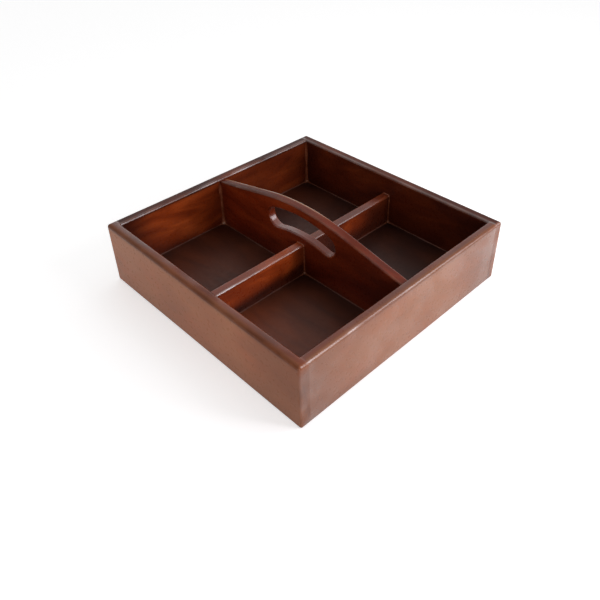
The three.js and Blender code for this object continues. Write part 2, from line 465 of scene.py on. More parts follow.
class NodeSheet:
    """Node tree of one material or of the world, filled by short calls."""

    def __init__(self, tree: bpy.types.NodeTree) -> None:
        """Empties the tree.

        Args:
            tree: Tree to fill.
        """
        self.tree = tree
        tree.nodes.clear()

    def add(self, kind: str, inputs: dict | None = None, **settings: object) -> bpy.types.Node:
        """Adds a node.

        Args:
            kind: Name of the node's type, after ShaderNode.
            inputs: Sockets to link or values to set, by the input's name or number.
            settings: Properties of the node.

        Returns:
            The node.
        """
        node = self.tree.nodes.new("ShaderNode" + kind)
        for key, value in settings.items():
            setattr(node, key, value)
        for key, value in (inputs or {}).items():
            if isinstance(value, Socket):
                self.tree.links.new(value, node.inputs[key])
            else:
                node.inputs[key].default_value = value
        return node

    def noise(self, pattern: Pattern, turn: Grain, shift: Colour) -> Socket:
        """Cloudy values from 0 to 1, on Object coordinates scaled along and across the grain.

        Args:
            pattern: Pattern of the clouds.
            turn: Which way the fibres run.
            shift: Moves the pattern, so that no two boards look alike.

        Returns:
            The values.
        """
        along, across = pattern.stretch
        scale = (along, across, across) if turn is Grain.LENGTHWISE else (across, along, across)
        place = self.add("TexCoord").outputs["Object"]
        inputs = {
            "Vector": self.add("Mapping", {"Vector": place, "Location": shift, "Scale": scale}).outputs[0],
            "Scale": 1,
            "Detail": pattern.detail,
            "Roughness": pattern.rough,
            "Distortion": pattern.swirl,
        }
        return self.add("TexNoise", inputs).outputs["Fac"]

    def mark(self, name: str) -> Socket:
        """Values of one of the mesh's own marks."""
        return self.add("Attribute", attribute_name=name).outputs["Fac"]

    def spread(self, value: Socket, old: tuple[float, float], new: tuple[float, float]) -> Socket:
        """Carries values smoothly from one range to another, held at its ends.

        Args:
            value: Values to carry.
            old: Range that they are in.
            new: Range that they go to.

        Returns:
            The new values.
        """
        inputs = {"Value": value, 1: old[0], 2: old[1], 3: new[0], 4: new[1]}
        return self.add("MapRange", inputs, interpolation_type="SMOOTHSTEP").outputs[0]

    def work_out(self, kind: str, first: Socket | float, second: Socket | float) -> Socket:
        """One step of arithmetic between two values."""
        return self.add("Math", {0: first, 1: second}, operation=kind).outputs[0]

    def times(self, first: Socket, second: Socket) -> Socket:
        """Product of two values."""
        return self.work_out("MULTIPLY", first, second)

    def mix(
        self, share: Socket | float, under: Socket | Colour, over: Socket | Colour, kind: str = "MIX"
    ) -> Socket:
        """Lays one colour over another.

        Args:
            share: How much of the upper colour shows.
            under: Lower colour.
            over: Upper colour.
            kind: Way of mixing.

        Returns:
            The mixed colour.
        """
        colours = [c if isinstance(c, Socket) else (*c, 1) for c in (under, over)]
        inputs = {0: share, 6: colours[0], 7: colours[1]}
        return self.add("Mix", inputs, data_type="RGBA", blend_type=kind).outputs[2]

    def steps(self, value: Socket, stops: list[tuple[float, Colour]]) -> Socket:
        """Colours along a scale.

        Args:
            value: Place on the scale, from 0 to 1.
            stops: Places on the scale and their colours.

        Returns:
            The colour.
        """
        node = self.add("ValToRGB", {0: value})
        elements = node.color_ramp.elements
        for _ in stops[2:]:
            elements.new(0.5)
        for element, (place, colour) in zip(elements, stops):
            element.position = place
            element.color = (*colour, 1)
        return node.outputs[0]

    def bump(
        self, height: Socket, strength: Socket | float, distance: float, normal: Socket | None = None
    ) -> Socket:
        """Normal of a slightly uneven surface.

        Args:
            height: Heights from 0 to 1.
            strength: Share of the bump that is used.
            distance: Height that 1 stands for.
            normal: Normal of a bump below this one.

        Returns:
            The normal.
        """
        inputs = {"Height": height, "Strength": strength, "Distance": distance}
        if normal is not None:
            inputs["Normal"] = normal
        return self.add("Bump", inputs).outputs[0]

    def finish(self, shader: Socket, kind: str = "OutputMaterial") -> None:
        """Links the last shader to the output."""
        self.add(kind, {"Surface": shader})


def new_material(name: str) -> tuple[bpy.types.Material, NodeSheet]:
    """A material with an empty node tree.

    Args:
        name: Name of the material.

    Returns:
        The material and its sheet of nodes.
    """
    material = bpy.data.materials.new(name)
    material.use_nodes = True
    return material, NodeSheet(material.node_tree)


@dataclass(frozen=True)
class Stain:
    """Colours of the stained wood: fibres, rubbed edges, painted shade, also in the pores, and paler outer
    faces with painted sheen.
    """

    deep: Colour
    body: Colour
    warm: Colour
    rubbed: Colour
    painted_shade: Colour
    pale_stain_and_sheen: Colour


WALL_STAIN = Stain(
    deep=(0.15, 0.019, 0.004),
    body=(0.3, 0.047, 0.008),
    warm=(0.5, 0.095, 0.018),
    rubbed=(0.42, 0.13, 0.05),
    painted_shade=(0.05, 0.009, 0.004),
    pale_stain_and_sheen=(0.52, 0.25, 0.07),
)
HANDLE_STAIN = replace(
    WALL_STAIN, deep=(0.15, 0.015, 0.003), body=(0.3, 0.037, 0.007), warm=(0.46, 0.07, 0.013)
)
FLOOR_STAIN = Stain(
    deep=(0.1, 0.021, 0.006),
    body=(0.155, 0.034, 0.01),
    warm=(0.2, 0.045, 0.014),
    rubbed=(0.12, 0.04, 0.025),
    painted_shade=(0.018, 0.004, 0.002),
    pale_stain_and_sheen=(0.12, 0.04, 0.025),
)

# Tints of the blotches, and shares by which fibres, pores, painted shade, painted sheen and wear show.
DIM_CLOUD = (0.7, 0.66, 0.64)
LIT_CLOUD = (1.12, 1.1, 1.08)
FIBRE_SHADE = 0.14
PORE_SHADE = (0.06, 0.01)
PALE_SHEEN_RANGE = (0, 0.6)
PALE_SHEEN_SPREAD = (0.85, 1.15)
PAINTED_SHADE_SPREAD = (1, 0.8)
POOL_SPREAD = (0.5, 1.5)
WORN_SHARE = 0.2
RUBBED_GLOSS = 0.6
OPEN_GRAIN = 0.06
PEEL_SHARE = 0.05


@dataclass(frozen=True)
class StainedLacquer:
    """Stained wood under a sprayed lacquer: figure, fibres, pores, blotches, rubbed edges, painted shade
    and painted sheen.

    Attributes:
        name: Name of the material.
        stain: Colours of the wood.
        grain: Which way the fibres run.
        shift: Moves the figure, so that no two boards look alike.
        gloss: Lowest and highest roughness of the surface.
        coat: Weight of the clear top coat, or None where the mesh's own mark gives it.
        coat_rough: Roughness of the clear top coat.
        coat_bend: Its index of refraction.
        bend: Index of refraction of the lacquer.
        tone: How light the board took the stain, partly set as painted light.
        pale_stain_and_sheen: Share of the paler stain on its outer face, partly painted sheen.
    """

    name: str
    stain: Stain
    grain: Grain
    shift: Colour
    gloss: tuple[float, float] = (0.26, 0.36)
    coat: float | None = None
    coat_rough: float = 0.26
    coat_bend: float = 1.8
    bend: float = 1.47
    tone: float = 1.0
    pale_stain_and_sheen: float = 0.75

    def grown(self, sheet: NodeSheet, pattern: Pattern) -> Socket:
        """A pattern of the wood itself, along its grain."""
        return sheet.noise(pattern, self.grain, self.shift)

    def sprayed(self, sheet: NodeSheet, pattern: Pattern) -> Socket:
        """A pattern of the spray, which runs on from board to board."""
        return sheet.noise(pattern, Grain.LENGTHWISE, SPRAY_SHIFT)

    def colour(self, sheet: NodeSheet, fibres: Socket, pores: Socket) -> Socket:
        """Colour of the wood: figure, blotches, fibres, pores, paler stain with painted sheen, painted
        shade, rubbed edges.

        Args:
            sheet: Sheet of nodes to add to.
            fibres: Heights of the fine fibres.
            pores: Depths of the pores.

        Returns:
            The colour.
        """
        stain = self.stain
        figure = self.grown(sheet, FIGURE)
        colour = sheet.steps(figure, [(0.28, stain.deep), (0.5, stain.body), (0.74, stain.warm)])
        clouds = self.grown(sheet, BLOTCHES)
        tints = [tuple(self.tone * part for part in shade) for shade in (DIM_CLOUD, LIT_CLOUD)]
        blotch = sheet.steps(clouds, list(zip(CLOUD_RANGE, tints)))
        colour = sheet.mix(1.0, colour, blotch, "MULTIPLY")
        colour = sheet.mix(sheet.spread(fibres, (0.35, 0.7), (FIBRE_SHADE, 0)), colour, stain.deep)
        open_pores = sheet.spread(sheet.mark(PALE_STAIN_AND_SHEEN), PALE_SHEEN_RANGE, PORE_SHADE)
        # The pores take the dark colour of the painted shade.
        colour = sheet.mix(sheet.times(pores, open_pores), colour, stain.painted_shade)
        # Paler stain on outer faces, partly painted sheen, in uneven clouds; on the handle's rear edge a
        # painted highlight.
        thin, full = (share * self.pale_stain_and_sheen for share in PALE_SHEEN_SPREAD)
        mist = self.sprayed(sheet, BLOTCHES)
        milk = sheet.times(sheet.mark(PALE_STAIN_AND_SHEEN), sheet.spread(mist, CLOUD_RANGE, (thin, full)))
        colour = sheet.mix(milk, colour, stain.pale_stain_and_sheen)
        # Painted shade: the mesh's mark lays the dark colour where shade falls.
        shade = sheet.times(sheet.mark(PAINTED_SHADE), sheet.spread(clouds, CLOUD_RANGE, PAINTED_SHADE_SPREAD))
        colour = sheet.mix(shade, colour, stain.painted_shade)
        worn = self.grown(sheet, WORN_SPOTS)
        rubbed = sheet.times(sheet.mark(RUB), sheet.spread(worn, (0.4, 0.65), (0, WORN_SHARE)))
        return sheet.mix(rubbed, colour, stain.rubbed)

    def coat_weight(self, sheet: NodeSheet) -> Socket | float:
        """Weight of the top coat: one number, or the mesh's own mark, pooled unevenly by the spray.

        Args:
            sheet: Sheet of nodes to add to.

        Returns:
            The weight.
        """
        if self.coat is not None:
            return self.coat
        pools = self.sprayed(sheet, SPRAY_POOLS)
        return sheet.times(sheet.mark(SHEEN), sheet.spread(pools, (0.35, 0.65), POOL_SPREAD))

    def material(self) -> bpy.types.Material:
        """Makes the material."""
        material, sheet = new_material(self.name)
        fibres = self.grown(sheet, FIBRES)
        pores = sheet.spread(self.grown(sheet, PORES), (0.62, 0.74), (0, 1))
        peel = self.grown(sheet, SPRAY_PEEL)
        open_grain = sheet.spread(sheet.mark(PALE_STAIN_AND_SHEEN), PALE_SHEEN_RANGE, (OPEN_GRAIN, 0))
        hollow = sheet.bump(fibres, open_grain, 0.25 * MM)
        normal = sheet.bump(peel, PEEL_SHARE, 0.6 * MM, hollow)
        polish = sheet.spread(sheet.mark(RUB), (0, 1), (1, RUBBED_GLOSS))
        inputs = {
            "Base Color": self.colour(sheet, fibres, pores),
            "Roughness": sheet.times(sheet.spread(peel, CLOUD_RANGE, self.gloss), polish),
            "Normal": normal,
            "IOR": self.bend,
            "Coat Weight": self.coat_weight(sheet),
            "Coat Roughness": self.coat_rough,
            "Coat IOR": self.coat_bend,
        }
        sheet.finish(sheet.add("BsdfPrincipled", inputs).outputs[0])
        return material


@dataclass(frozen=True)
class LacquerPool:
    """Lacquer and glue that ran together in a joint: paler, smooth and glossy, with painted shade and
    painted highlights.
    """

    name: str = "lacquer_pool"
    thin: Colour = (0.36, 0.11, 0.05)
    thick: Colour = (0.2, 0.05, 0.02)
    # dull is the colour of painted shade on the floor bead; pale is the colour of painted highlights on the
    # drops.
    dull: Colour = (0.07, 0.02, 0.012)
    pale: Colour = (0.62, 0.36, 0.24)
    gloss: tuple[float, float] = (0.24, 0.6)
    bend: float = 1.48

    def material(self) -> bpy.types.Material:
        """Makes the material: uneven thickness tints it, a soft ripple breaks its shine, and its marks
        paint shade and highlights.
        """
        material, sheet = new_material(self.name)
        runs = sheet.noise(LACQUER_RUNS, Grain.LENGTHWISE, NO_SHIFT)
        clear = sheet.steps(runs, [(0.35, self.thick), (0.65, self.thin)])
        matt = sheet.spread(sheet.mark(PAINTED_SHADE), (0, BEAD_SHADE_AND_MATT), self.gloss)
        with_painted_shade = sheet.mix(sheet.mark(PAINTED_SHADE), clear, self.dull)
        inputs = {
            "Base Color": sheet.mix(sheet.mark(PALE_STAIN_AND_SHEEN), with_painted_shade, self.pale),
            "Roughness": sheet.work_out("ADD", matt, sheet.spread(runs, CLOUD_RANGE, (-0.06, 0.06))),
            "Normal": sheet.bump(runs, 0.2, 0.4 * MM),
            "IOR": self.bend,
        }
        sheet.finish(sheet.add("BsdfPrincipled", inputs).outputs[0])
        return material


@dataclass(frozen=True)
class DrawnSteel:
    """Bare steel wire with fine drawing lines."""

    name: str = "drawn_steel"
    bright: Colour = (0.6, 0.6, 0.59)
    dull: Colour = (0.42, 0.41, 0.4)
    gloss: tuple[float, float] = (0.3, 0.5)

    def material(self) -> bpy.types.Material:
        """Makes the material."""
        material, sheet = new_material(self.name)
        lines = sheet.noise(DRAWN_LINES, Grain.LENGTHWISE, NO_SHIFT)
        inputs = {
            "Base Color": sheet.steps(lines, list(zip(CLOUD_RANGE, (self.dull, self.bright)))),
            "Roughness": sheet.spread(lines, CLOUD_RANGE, self.gloss),
            "Normal": sheet.bump(lines, 0.2, 0.05 * MM),
            "Metallic": 1.0,
        }
        sheet.finish(sheet.add("BsdfPrincipled", inputs).outputs[0])
        return material


@dataclass(frozen=True)
class Recess:
    """A cut into a wall's inner face, seen along the wall: a groove or a housing."""

    half_width: float
    low: float
    high: float
    depth: float

    def cut(self, along: Array, height: Array) -> Array:
        """Depth of the cut at each place.

        Args:
            along: Places along the wall, from its middle.
            height: Heights.

        Returns:
            The recess's depth inside it, and 0 elsewhere.
        """
        inside = (np.abs(along) < self.half_width) & (height > self.low) & (height < self.high)
        return np.where(inside, self.depth, 0.0)


@dataclass(frozen=True)
class WallLook:
    """How one wall took its stain and lacquer, and the painted shade and light laid on it.

    Attributes:
        tone: How light it took the stain, set per side partly as painted light.
        pale_stain_and_sheen: Colour of the paler stain on its outer face, partly painted sheen.
        coat: Weight of the clear coat on its outer face.
        bend: Index of refraction of the lacquer.
        top_shade: Share of painted shade on its top.
        top_edge_shade: Share of painted shade on the outer edge of its top.
        top_coat: Weight of the clear coat on its top.
        inner_shade: Shares of painted shade on its inner face, in the compartments at its low end and at
            its high end.
        outer_shade: Shares of painted shade on its outer face, at its low end, in the middle and at its
            high end.
        end_face_shade: Shares of painted shade on its low end and on its high end.
        end_top_shade: Shares of painted shade on the rounds above the two ends.
        round_far: Share of the outer round's coat that is left at its high end.
        round_coat: Weights of the clear coat on the rounds of its top, outer and inner.
        corner_shade: Shares of painted shade in the inner corners at its low end and at its high end.
    """

    tone: float
    pale_stain_and_sheen: Colour
    coat: float
    bend: float
    top_shade: float
    top_edge_shade: float
    top_coat: float
    inner_shade: tuple[float, float]
    outer_shade: tuple[float, float, float]
    end_face_shade: tuple[float, float] = (0.3, 0.3)
    end_top_shade: tuple[float, float] = (0.62, 0.62)
    round_far: float = 1.0
    round_coat: tuple[float, float] = (0.05, 1.0)
    corner_shade: tuple[float, float] = (0.6, 0.6)


# Each side's tone, paler stain and painted shade differ partly to stand in for how that side is lit:
# painted light and shade.
WALL_LOOKS = {
    Side.FRONT: WallLook(
        tone=1.2,
        pale_stain_and_sheen=(0.505, 0.2, 0.093),
        coat=0.0,
        bend=1.2,
        top_shade=0.72,
        top_edge_shade=0.77,
        top_coat=0.55,
        inner_shade=(0.45, 0.45),
        outer_shade=(0.0, 0.08, 0.5),
        end_face_shade=(0.5, 0.7),
        end_top_shade=(0.85, 0.62),
    ),
    Side.BACK: WallLook(
        tone=1.0,
        pale_stain_and_sheen=(0.36, 0.11, 0.03),
        coat=0.1,
        bend=1.22,
        top_shade=0.92,
        top_edge_shade=1.0,
        top_coat=0.03,
        inner_shade=(0.8, 0.92),
        outer_shade=(0.1, 0.15, 0.2),
        end_face_shade=(0.25, 0.2),
        end_top_shade=(0.7, 0.45),
    ),
    Side.LEFT: WallLook(
        tone=1.18,
        pale_stain_and_sheen=(0.34, 0.1, 0.027),
        coat=0.15,
        bend=1.24,
        top_shade=1.0,
        top_edge_shade=1.1,
        top_coat=0.08,
        inner_shade=(0.1, 0.6),
        outer_shade=(0.2, 0.1, 0.2),
        corner_shade=(0.95, 0.4),
    ),
    Side.RIGHT: WallLook(
        tone=0.85,
        pale_stain_and_sheen=(0.32, 0.106, 0.03),
        coat=0.25,
        bend=1.47,
        top_shade=0.6,
        top_edge_shade=0.4,
        top_coat=0.2,
        inner_shade=(0.5, 0.5),
        outer_shade=(0.55, 0.0, 0.4),
        round_coat=(1.0, 0.3),
        round_far=0.1,
    ),
}


@dataclass
class TrayWall:
    """One wall of the tray, with its rounded edges, the base's groove and one housing.

    Rows run along the wall and columns run round its section. The long edges follow a quarter round,
    a smaller one at the foot. A wall that runs through also carries the tray's rounded upright
    corners at its ends.
    """

    side: Side
    finish: StainedLacquer
    housing: Recess
    groove: Recess
    look: WallLook
    edge_round: float = 3 * MM
    foot_round: float = 1.5 * MM
    corner_round: float = 1.8 * MM
    row_step: float = 6 * MM
    face_steps: int = 18
    foot_wear: float = 0.6
    end_reach: float = 9 * MM
    pale_sheen_reach: float = 1.2 * MM
    top_reach: float = 0.5 * MM
    # Painted shade beside the housed board, above the floor on the inner face, and along the outer foot.
    joint_shade: PaintedShadeBand = PaintedShadeBand(0.5, 10 * MM)
    floor_shade: PaintedShadeBand = PaintedShadeBand(0.65, 8 * MM)
    foot_shade: PaintedShadeBand = PaintedShadeBand(0.5, 1.5 * MM)
    half: float = field(init=False)
    thickness: float = field(init=False)
    height: float = field(init=False)
    outer: float = field(init=False)

    def __post_init__(self) -> None:
        """Takes the wall's sizes from its CAD node."""
        low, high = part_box(self.side.node)
        across = 1 - self.side.along
        self.half = high[self.side.along] if self.side.runs_through else room()[self.side.along]
        self.thickness = high[across] - low[across]
        self.height = high[2]
        self.outer = max(abs(low[across]), abs(high[across]))

    def rows(self) -> tuple[Array, Array]:
        """Places along the wall, and the same places moved a hair to the side of a cut that they stand on.

        Returns:
            The places and the moved places.
        """
        flat = self.half - (self.corner_round if self.side.runs_through else 0)
        count = round(2 * flat / self.row_step) + 1
        even = np.linspace(-flat, flat, count)
        ends = np.array([0.3 * MM, 0.8 * MM, 1.2 * MM])
        parts = [even, flat - ends, ends - flat]
        if self.side.runs_through:
            turn = np.linspace(0, math.pi / 2, ARC_STEPS + 1)[1:]
            corner = flat + self.corner_round * np.sin(turn)
            mitre = self.half - self.thickness + np.linspace(0, self.edge_round, 5)
            parts += [corner, -corner, mitre, -mitre]
        cuts = np.array([w for w in (self.housing.half_width, self.groove.half_width) if w < self.half])
        return beside_cuts(np.concatenate(parts), np.concatenate([cuts, -cuts]))

    def face_heights(self) -> Array:
        """Heights of a face's columns, from the foot up."""
        return supported(self.foot_round, self.height - self.edge_round, self.face_steps, FACE_MARGIN)

    def inner_heights(self) -> tuple[Array, Array]:
        """Heights of the inner face's columns from the top down, and the same moved off the cuts' edges.

        Returns:
            The heights and the moved heights.
        """
        cuts = np.array([self.groove.low, self.groove.high, self.housing.high])
        heights, moved = beside_cuts(self.face_heights(), cuts)
        return heights[::-1], moved[::-1]

    def rounded_edges(self, along: Array, r: float) -> tuple[list[Array], list[Array], list[Array]]:
        """Columns over a pair of rounded edges, from the outer face over the flat to the inner face.

        With a the angle on a quarter round of radius r, a point stands r (1 - cos a) in from the face
        and r sin a above its foot. Past the start of the upright corner by m, an inset of i stands
        c - sqrt((c - i)^2 - m^2) from the outer face, c being the corner's radius; an inset over c is
        mitred. Where the inner rounds of two walls meet, the higher one is followed, which mitres them.

        Args:
            along: Places along the wall.
            r: Radius of the two edges.

        Returns:
            Depths from the outer face, heights and wear, each as a list of column blocks.
        """
        c = self.corner_round
        spring = self.height - r
        if self.side.runs_through:
            off_middle = np.abs(along)
            past = np.clip(off_middle - (self.half - c), 0, c)
            left = self.half - off_middle
            meet = np.clip(off_middle - (self.half - self.thickness), 0, r)
        else:
            past = meet = 0 * along
            left = past + r
        widest = np.arccos(1 - np.clip(left, 0, r) / r)
        share = np.linspace(0, 1, ARC_STEPS + 1)
        angle = widest[:, None] * share
        inset = r * (1 - np.cos(angle))
        rounded = c - np.sqrt(np.maximum((c - inset) ** 2 - past[:, None] ** 2, 0))
        depth_out = np.where(inset < c, rounded, inset)
        height_out = spring + r * np.sin(angle)
        top = height_out[:, -1:]
        flat = np.array([0.08, 0.3, 0.5, 0.7, 0.92])
        depth_top = depth_out[:, -1:] + (self.thickness - r - depth_out[:, -1:]) * flat
        back = (1 - share) * math.pi / 2
        depth_in = np.broadcast_to(self.thickness - r * (1 - np.cos(back)), angle.shape)
        mitre = spring + np.sqrt(np.maximum(r**2 - (r - meet) ** 2, 0))
        height_in = np.minimum(np.maximum(spring + r * np.sin(back), mitre[:, None]), top)
        wear = np.broadcast_to(np.sin(math.pi * share), angle.shape)
        end_wear = np.broadcast_to(np.sin(2 * widest)[:, None], depth_top.shape)
        return (
            [depth_out, depth_top, depth_in],
            [height_out, np.broadcast_to(top, depth_top.shape), height_in],
            [wear, end_wear, wear],
        )

    def skin(self) -> Skin:
        """Works out the wall's surface.

        Returns:
            The surface, in place.
        """
        along, moved = self.rows()
        depths, heights, wears = self.rounded_edges(along, self.edge_round)
        foot_depths, foot_heights, foot_wears = self.rounded_edges(along, self.foot_round)
        face = self.face_heights()
        outer_depth = np.repeat(depths[0][:, :1], len(face), axis=1)
        upright = np.clip(outer_depth / self.corner_round, 0, 1)
        inner, inner_moved = self.inner_heights()
        cut = np.maximum(
            self.groove.cut(moved[:, None], inner_moved), self.housing.cut(moved[:, None], inner_moved)
        )
        depth = [outer_depth, *depths, self.thickness - cut, *[d[:, ::-1] for d in foot_depths[::-1]]]
        height = [
            np.broadcast_to(face, outer_depth.shape),
            *heights,
            np.broadcast_to(inner, cut.shape),
            *[self.height - h[:, ::-1] for h in foot_heights[::-1]],
        ]
        rub = [
            4 * upright * (1 - upright),
            *wears,
            np.zeros_like(cut),
            *[self.foot_wear * w[:, ::-1] for w in foot_wears[::-1]],
        ]
        depth, height, rub = (np.concatenate(columns, axis=1) for columns in (depth, height, rub))
        return Skin(
            points=self.placed(along, depth, height),
            painted_shade=self.painted_shading(along, depth, height),
            rub=rub,
            # Paler stain on the outer face and the rounded ends, partly painted sheen.
            pale_stain_and_sheen=np.maximum(fade(depth - self.edge_round, self.pale_sheen_reach), self.end_share(along)),
            sheen=self.sheen(along, depth, height, rub),
        )

    def sheen(self, along: Array, depth: Array, height: Array, rub: Array) -> Array:
        """Weight of the clear coat on the faces, the ends, the top and the rounds of the top.

        Args:
            along: Places along the wall.
            depth: Depths from the outer face, rows by columns.
            height: Heights, rows by columns.
            rub: Wear, which is greatest in the middle of a round.

        Returns:
            Weight at each place.
        """
        look = self.look
        turned = self.turned(along)
        inner = depth > self.thickness / 2
        by_end = fade(self.half - np.abs(along), self.end_reach)[:, None]
        ends = 0 * turned if self.side.runs_through else by_end
        sheen = np.where(inner, FACE_COAT, blend(look.coat, END_COAT, ends))
        sheen = blend(sheen, END_COAT, turned)
        on_top = fade(self.height - 0.5 * self.edge_round - height, self.top_reach)
        sheen = blend(sheen, look.top_coat * ramp(depth, 2 * MM, 6 * MM), on_top)
        faded = blend(1, look.round_far, ramp(along / self.outer, -0.7, 0.3)[:, None])
        outer_round, inner_round = look.round_coat
        top_round = np.where(inner, inner_round, outer_round * faded)
        top_round = blend(top_round, END_ROUND_COAT, self.end_share(along))
        return np.maximum(sheen, top_round * rub * on_top)

    def turned(self, along: Array) -> Array:
        """How far the surface has turned round an upright corner: 0 on the long faces, 1 on the end.

        Args:
            along: Places along the wall.

        Returns:
            The share, rows by one; 0 all along a wall that has no such corners.
        """
        if not self.side.runs_through:
            return np.zeros((len(along), 1))
        return ramp(np.abs(along), self.half - self.corner_round, self.half)[:, None]

    def end_share(self, along: Array) -> Array:
        """1 on the rounded ends of a wall that runs through and 0 between them, rows by one."""
        start = self.half - self.edge_round
        return self.side.runs_through * ramp(np.abs(along), start, start + 0.6 * self.edge_round)[:, None]

    @staticmethod
    def by_end(along: Array, shares: tuple[float, float]) -> Array:
        """The first share on the half with the low places and the second on the other, rows by one."""
        return np.where(along < 0, *shares)[:, None]

    def placed(self, along: Array, depth: Array, height: Array) -> Array:
        """Carries the section's depths and heights to the wall's own side of the tray.

        Args:
            along: Places along the wall.
            depth: Depths from the outer face, rows by columns.
            height: Heights, rows by columns.

        Returns:
            Places, rows by columns by three.
        """
        run = np.broadcast_to(along[:, None], depth.shape)
        across = self.side.outward * (self.outer - depth)
        first, second = (run, across) if self.side.along == 0 else (across, run)
        return np.stack([first, second, height], axis=-1)

    def painted_shading(self, along: Array, depth: Array, height: Array) -> Array:
        """Painted shade: by compartment and end, along the joints and the foot, deepest in the inner
        corners, and on the top.

        Args:
            along: Places along the wall.
            depth: Depths from the outer face, rows by columns.
            height: Heights, rows by columns.

        Returns:
            Share of painted shade at each place.
        """
        inner = depth > self.thickness / 2
        reach = room()[self.side.along]
        # Painted shade on the outer face by place along it, and on the inner face by compartment.
        low, middle, high = self.look.outer_shade
        place = along / self.outer
        outside = middle + (low - middle) * ramp(-place, 0.3, 1) + (high - middle) * ramp(place, 0.3, 1)
        inside = blend(*self.look.inner_shade, ramp(along, -UNDER_BOARD, UNDER_BOARD))
        face = np.where(inner, inside[:, None], outside[:, None])
        face = blend(face, self.by_end(along, self.look.end_face_shade), self.turned(along))
        # Painted shade in the inner corners at the two ends.
        near, far = self.look.corner_shade
        deep = near * ramp(-reach - along, -40 * MM, -6 * MM) + far * fade(reach - along, 12 * MM)
        corner = np.where(inner, deep[:, None], 0.0) * (1 - self.turned(along))
        # Painted shade beside the housed board, above the floor inside and along the foot outside.
        beside = self.joint_shade.at(np.abs(along) - self.housing.half_width)
        joint = np.where(inner, beside[:, None], 0.0)
        foot = np.where(inner, self.floor_shade.at(height - self.groove.high), self.foot_shade.at(height))
        under = layered(face, corner, joint, foot)
        # Painted shade on the top, with its own share on the outer edge and over the ends.
        top = blend(self.look.top_edge_shade, self.look.top_shade, ramp(depth, 1 * MM, 5 * MM))
        top = blend(top, self.by_end(along, self.look.end_top_shade), self.end_share(along))
        return blend(under, top, fade(self.height - self.edge_round - height, self.top_reach))

    def build(self) -> bpy.types.Object:
        """Builds and dresses the wall."""
        name = f"{self.side.node}_board"
        return add_piece(name, self.skin().mesh(name), self.finish.material(), WOOD_SLOT, self.side.node)


@dataclass
class BasePanel:
    """The floor: a flat panel whose edges sit in the walls' groove."""

    finish: StainedLacquer
    ease: float = 0.4 * MM
    row_step: float = 6 * MM
    margin: float = 0.5 * MM
    # Painted shade on the floor: less in the front compartments than in the rear ones, more along the
    # edges, even below.
    front_shade: float = 0.66
    back_shade: float = 0.88
    under_shade: float = 0.7
    edge_shade_band: float = 5 * MM
    edge_shade: PaintedShadeBand = PaintedShadeBand(0.35, 7 * MM)

    def skin(self) -> Skin:
        """Works out the panel: rows along X, columns round a section with eased corners.

        Returns:
            The surface, in place.
        """
        low, high = (np.array(corner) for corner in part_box("base_panel"))
        count = round((high[0] - low[0]) / self.row_step) + 1
        along = np.linspace(low[0], high[0], count)
        quarter = np.linspace(0, math.pi / 2, 4)
        reach = high[1] - self.ease
        over = supported(reach, -reach, count, self.margin)
        bend_y, bend_z = self.ease * np.cos(quarter), self.ease * np.sin(quarter)
        y = np.concatenate([reach + bend_y, over, (-reach - bend_y)[::-1]])
        z = np.concatenate([bend_z, np.full_like(over, self.ease), bend_z[::-1]]) + high[2] - self.ease
        section_y = np.concatenate([y, y[::-1]])
        section_z = np.concatenate([z, low[2] + high[2] - z[::-1]])
        shape = (count, len(section_y))
        points = np.stack(
            [
                np.broadcast_to(along[:, None], shape),
                np.broadcast_to(section_y, shape),
                np.broadcast_to(section_z, shape),
            ],
            axis=-1,
        )
        return Skin(points, self.painted_shading(points))

    def painted_shading(self, points: Array) -> Array:
        """Painted shade over each compartment's floor, more along its edges, none on the front of the front
        right floor, even below.

        Args:
            points: Places on the panel.

        Returns:
            Share of painted shade at each place.
        """
        x, y, z = np.moveaxis(points, -1, 0)
        right, front = (ramp(place, -UNDER_BOARD, UNDER_BOARD) for place in (x, -y))
        # The front of the front-right floor is left without painted shade, as a lit patch.
        bare = right * ramp(-y, 15 * MM, 85 * MM)
        plan = np.abs(points[..., :2])
        near = np.minimum(plan, room() - plan).min(axis=-1)
        # Painted shade, deeper in the rear compartments than in the front ones.
        sprayed = blend(self.back_shade, self.front_shade, front)
        edges = self.edge_shade.at(near - self.edge_shade_band)
        above = layered(sprayed * (1 - bare), edges * (1 - bare))
        return np.where(2 * z > z.min() + z.max(), above, self.under_shade)

    def build(self) -> bpy.types.Object:
        """Builds and dresses the panel."""
        name = "base_panel_board"
        return add_piece(name, self.skin().mesh(name), self.finish.material(), FLOOR_SLOT, "base_panel")


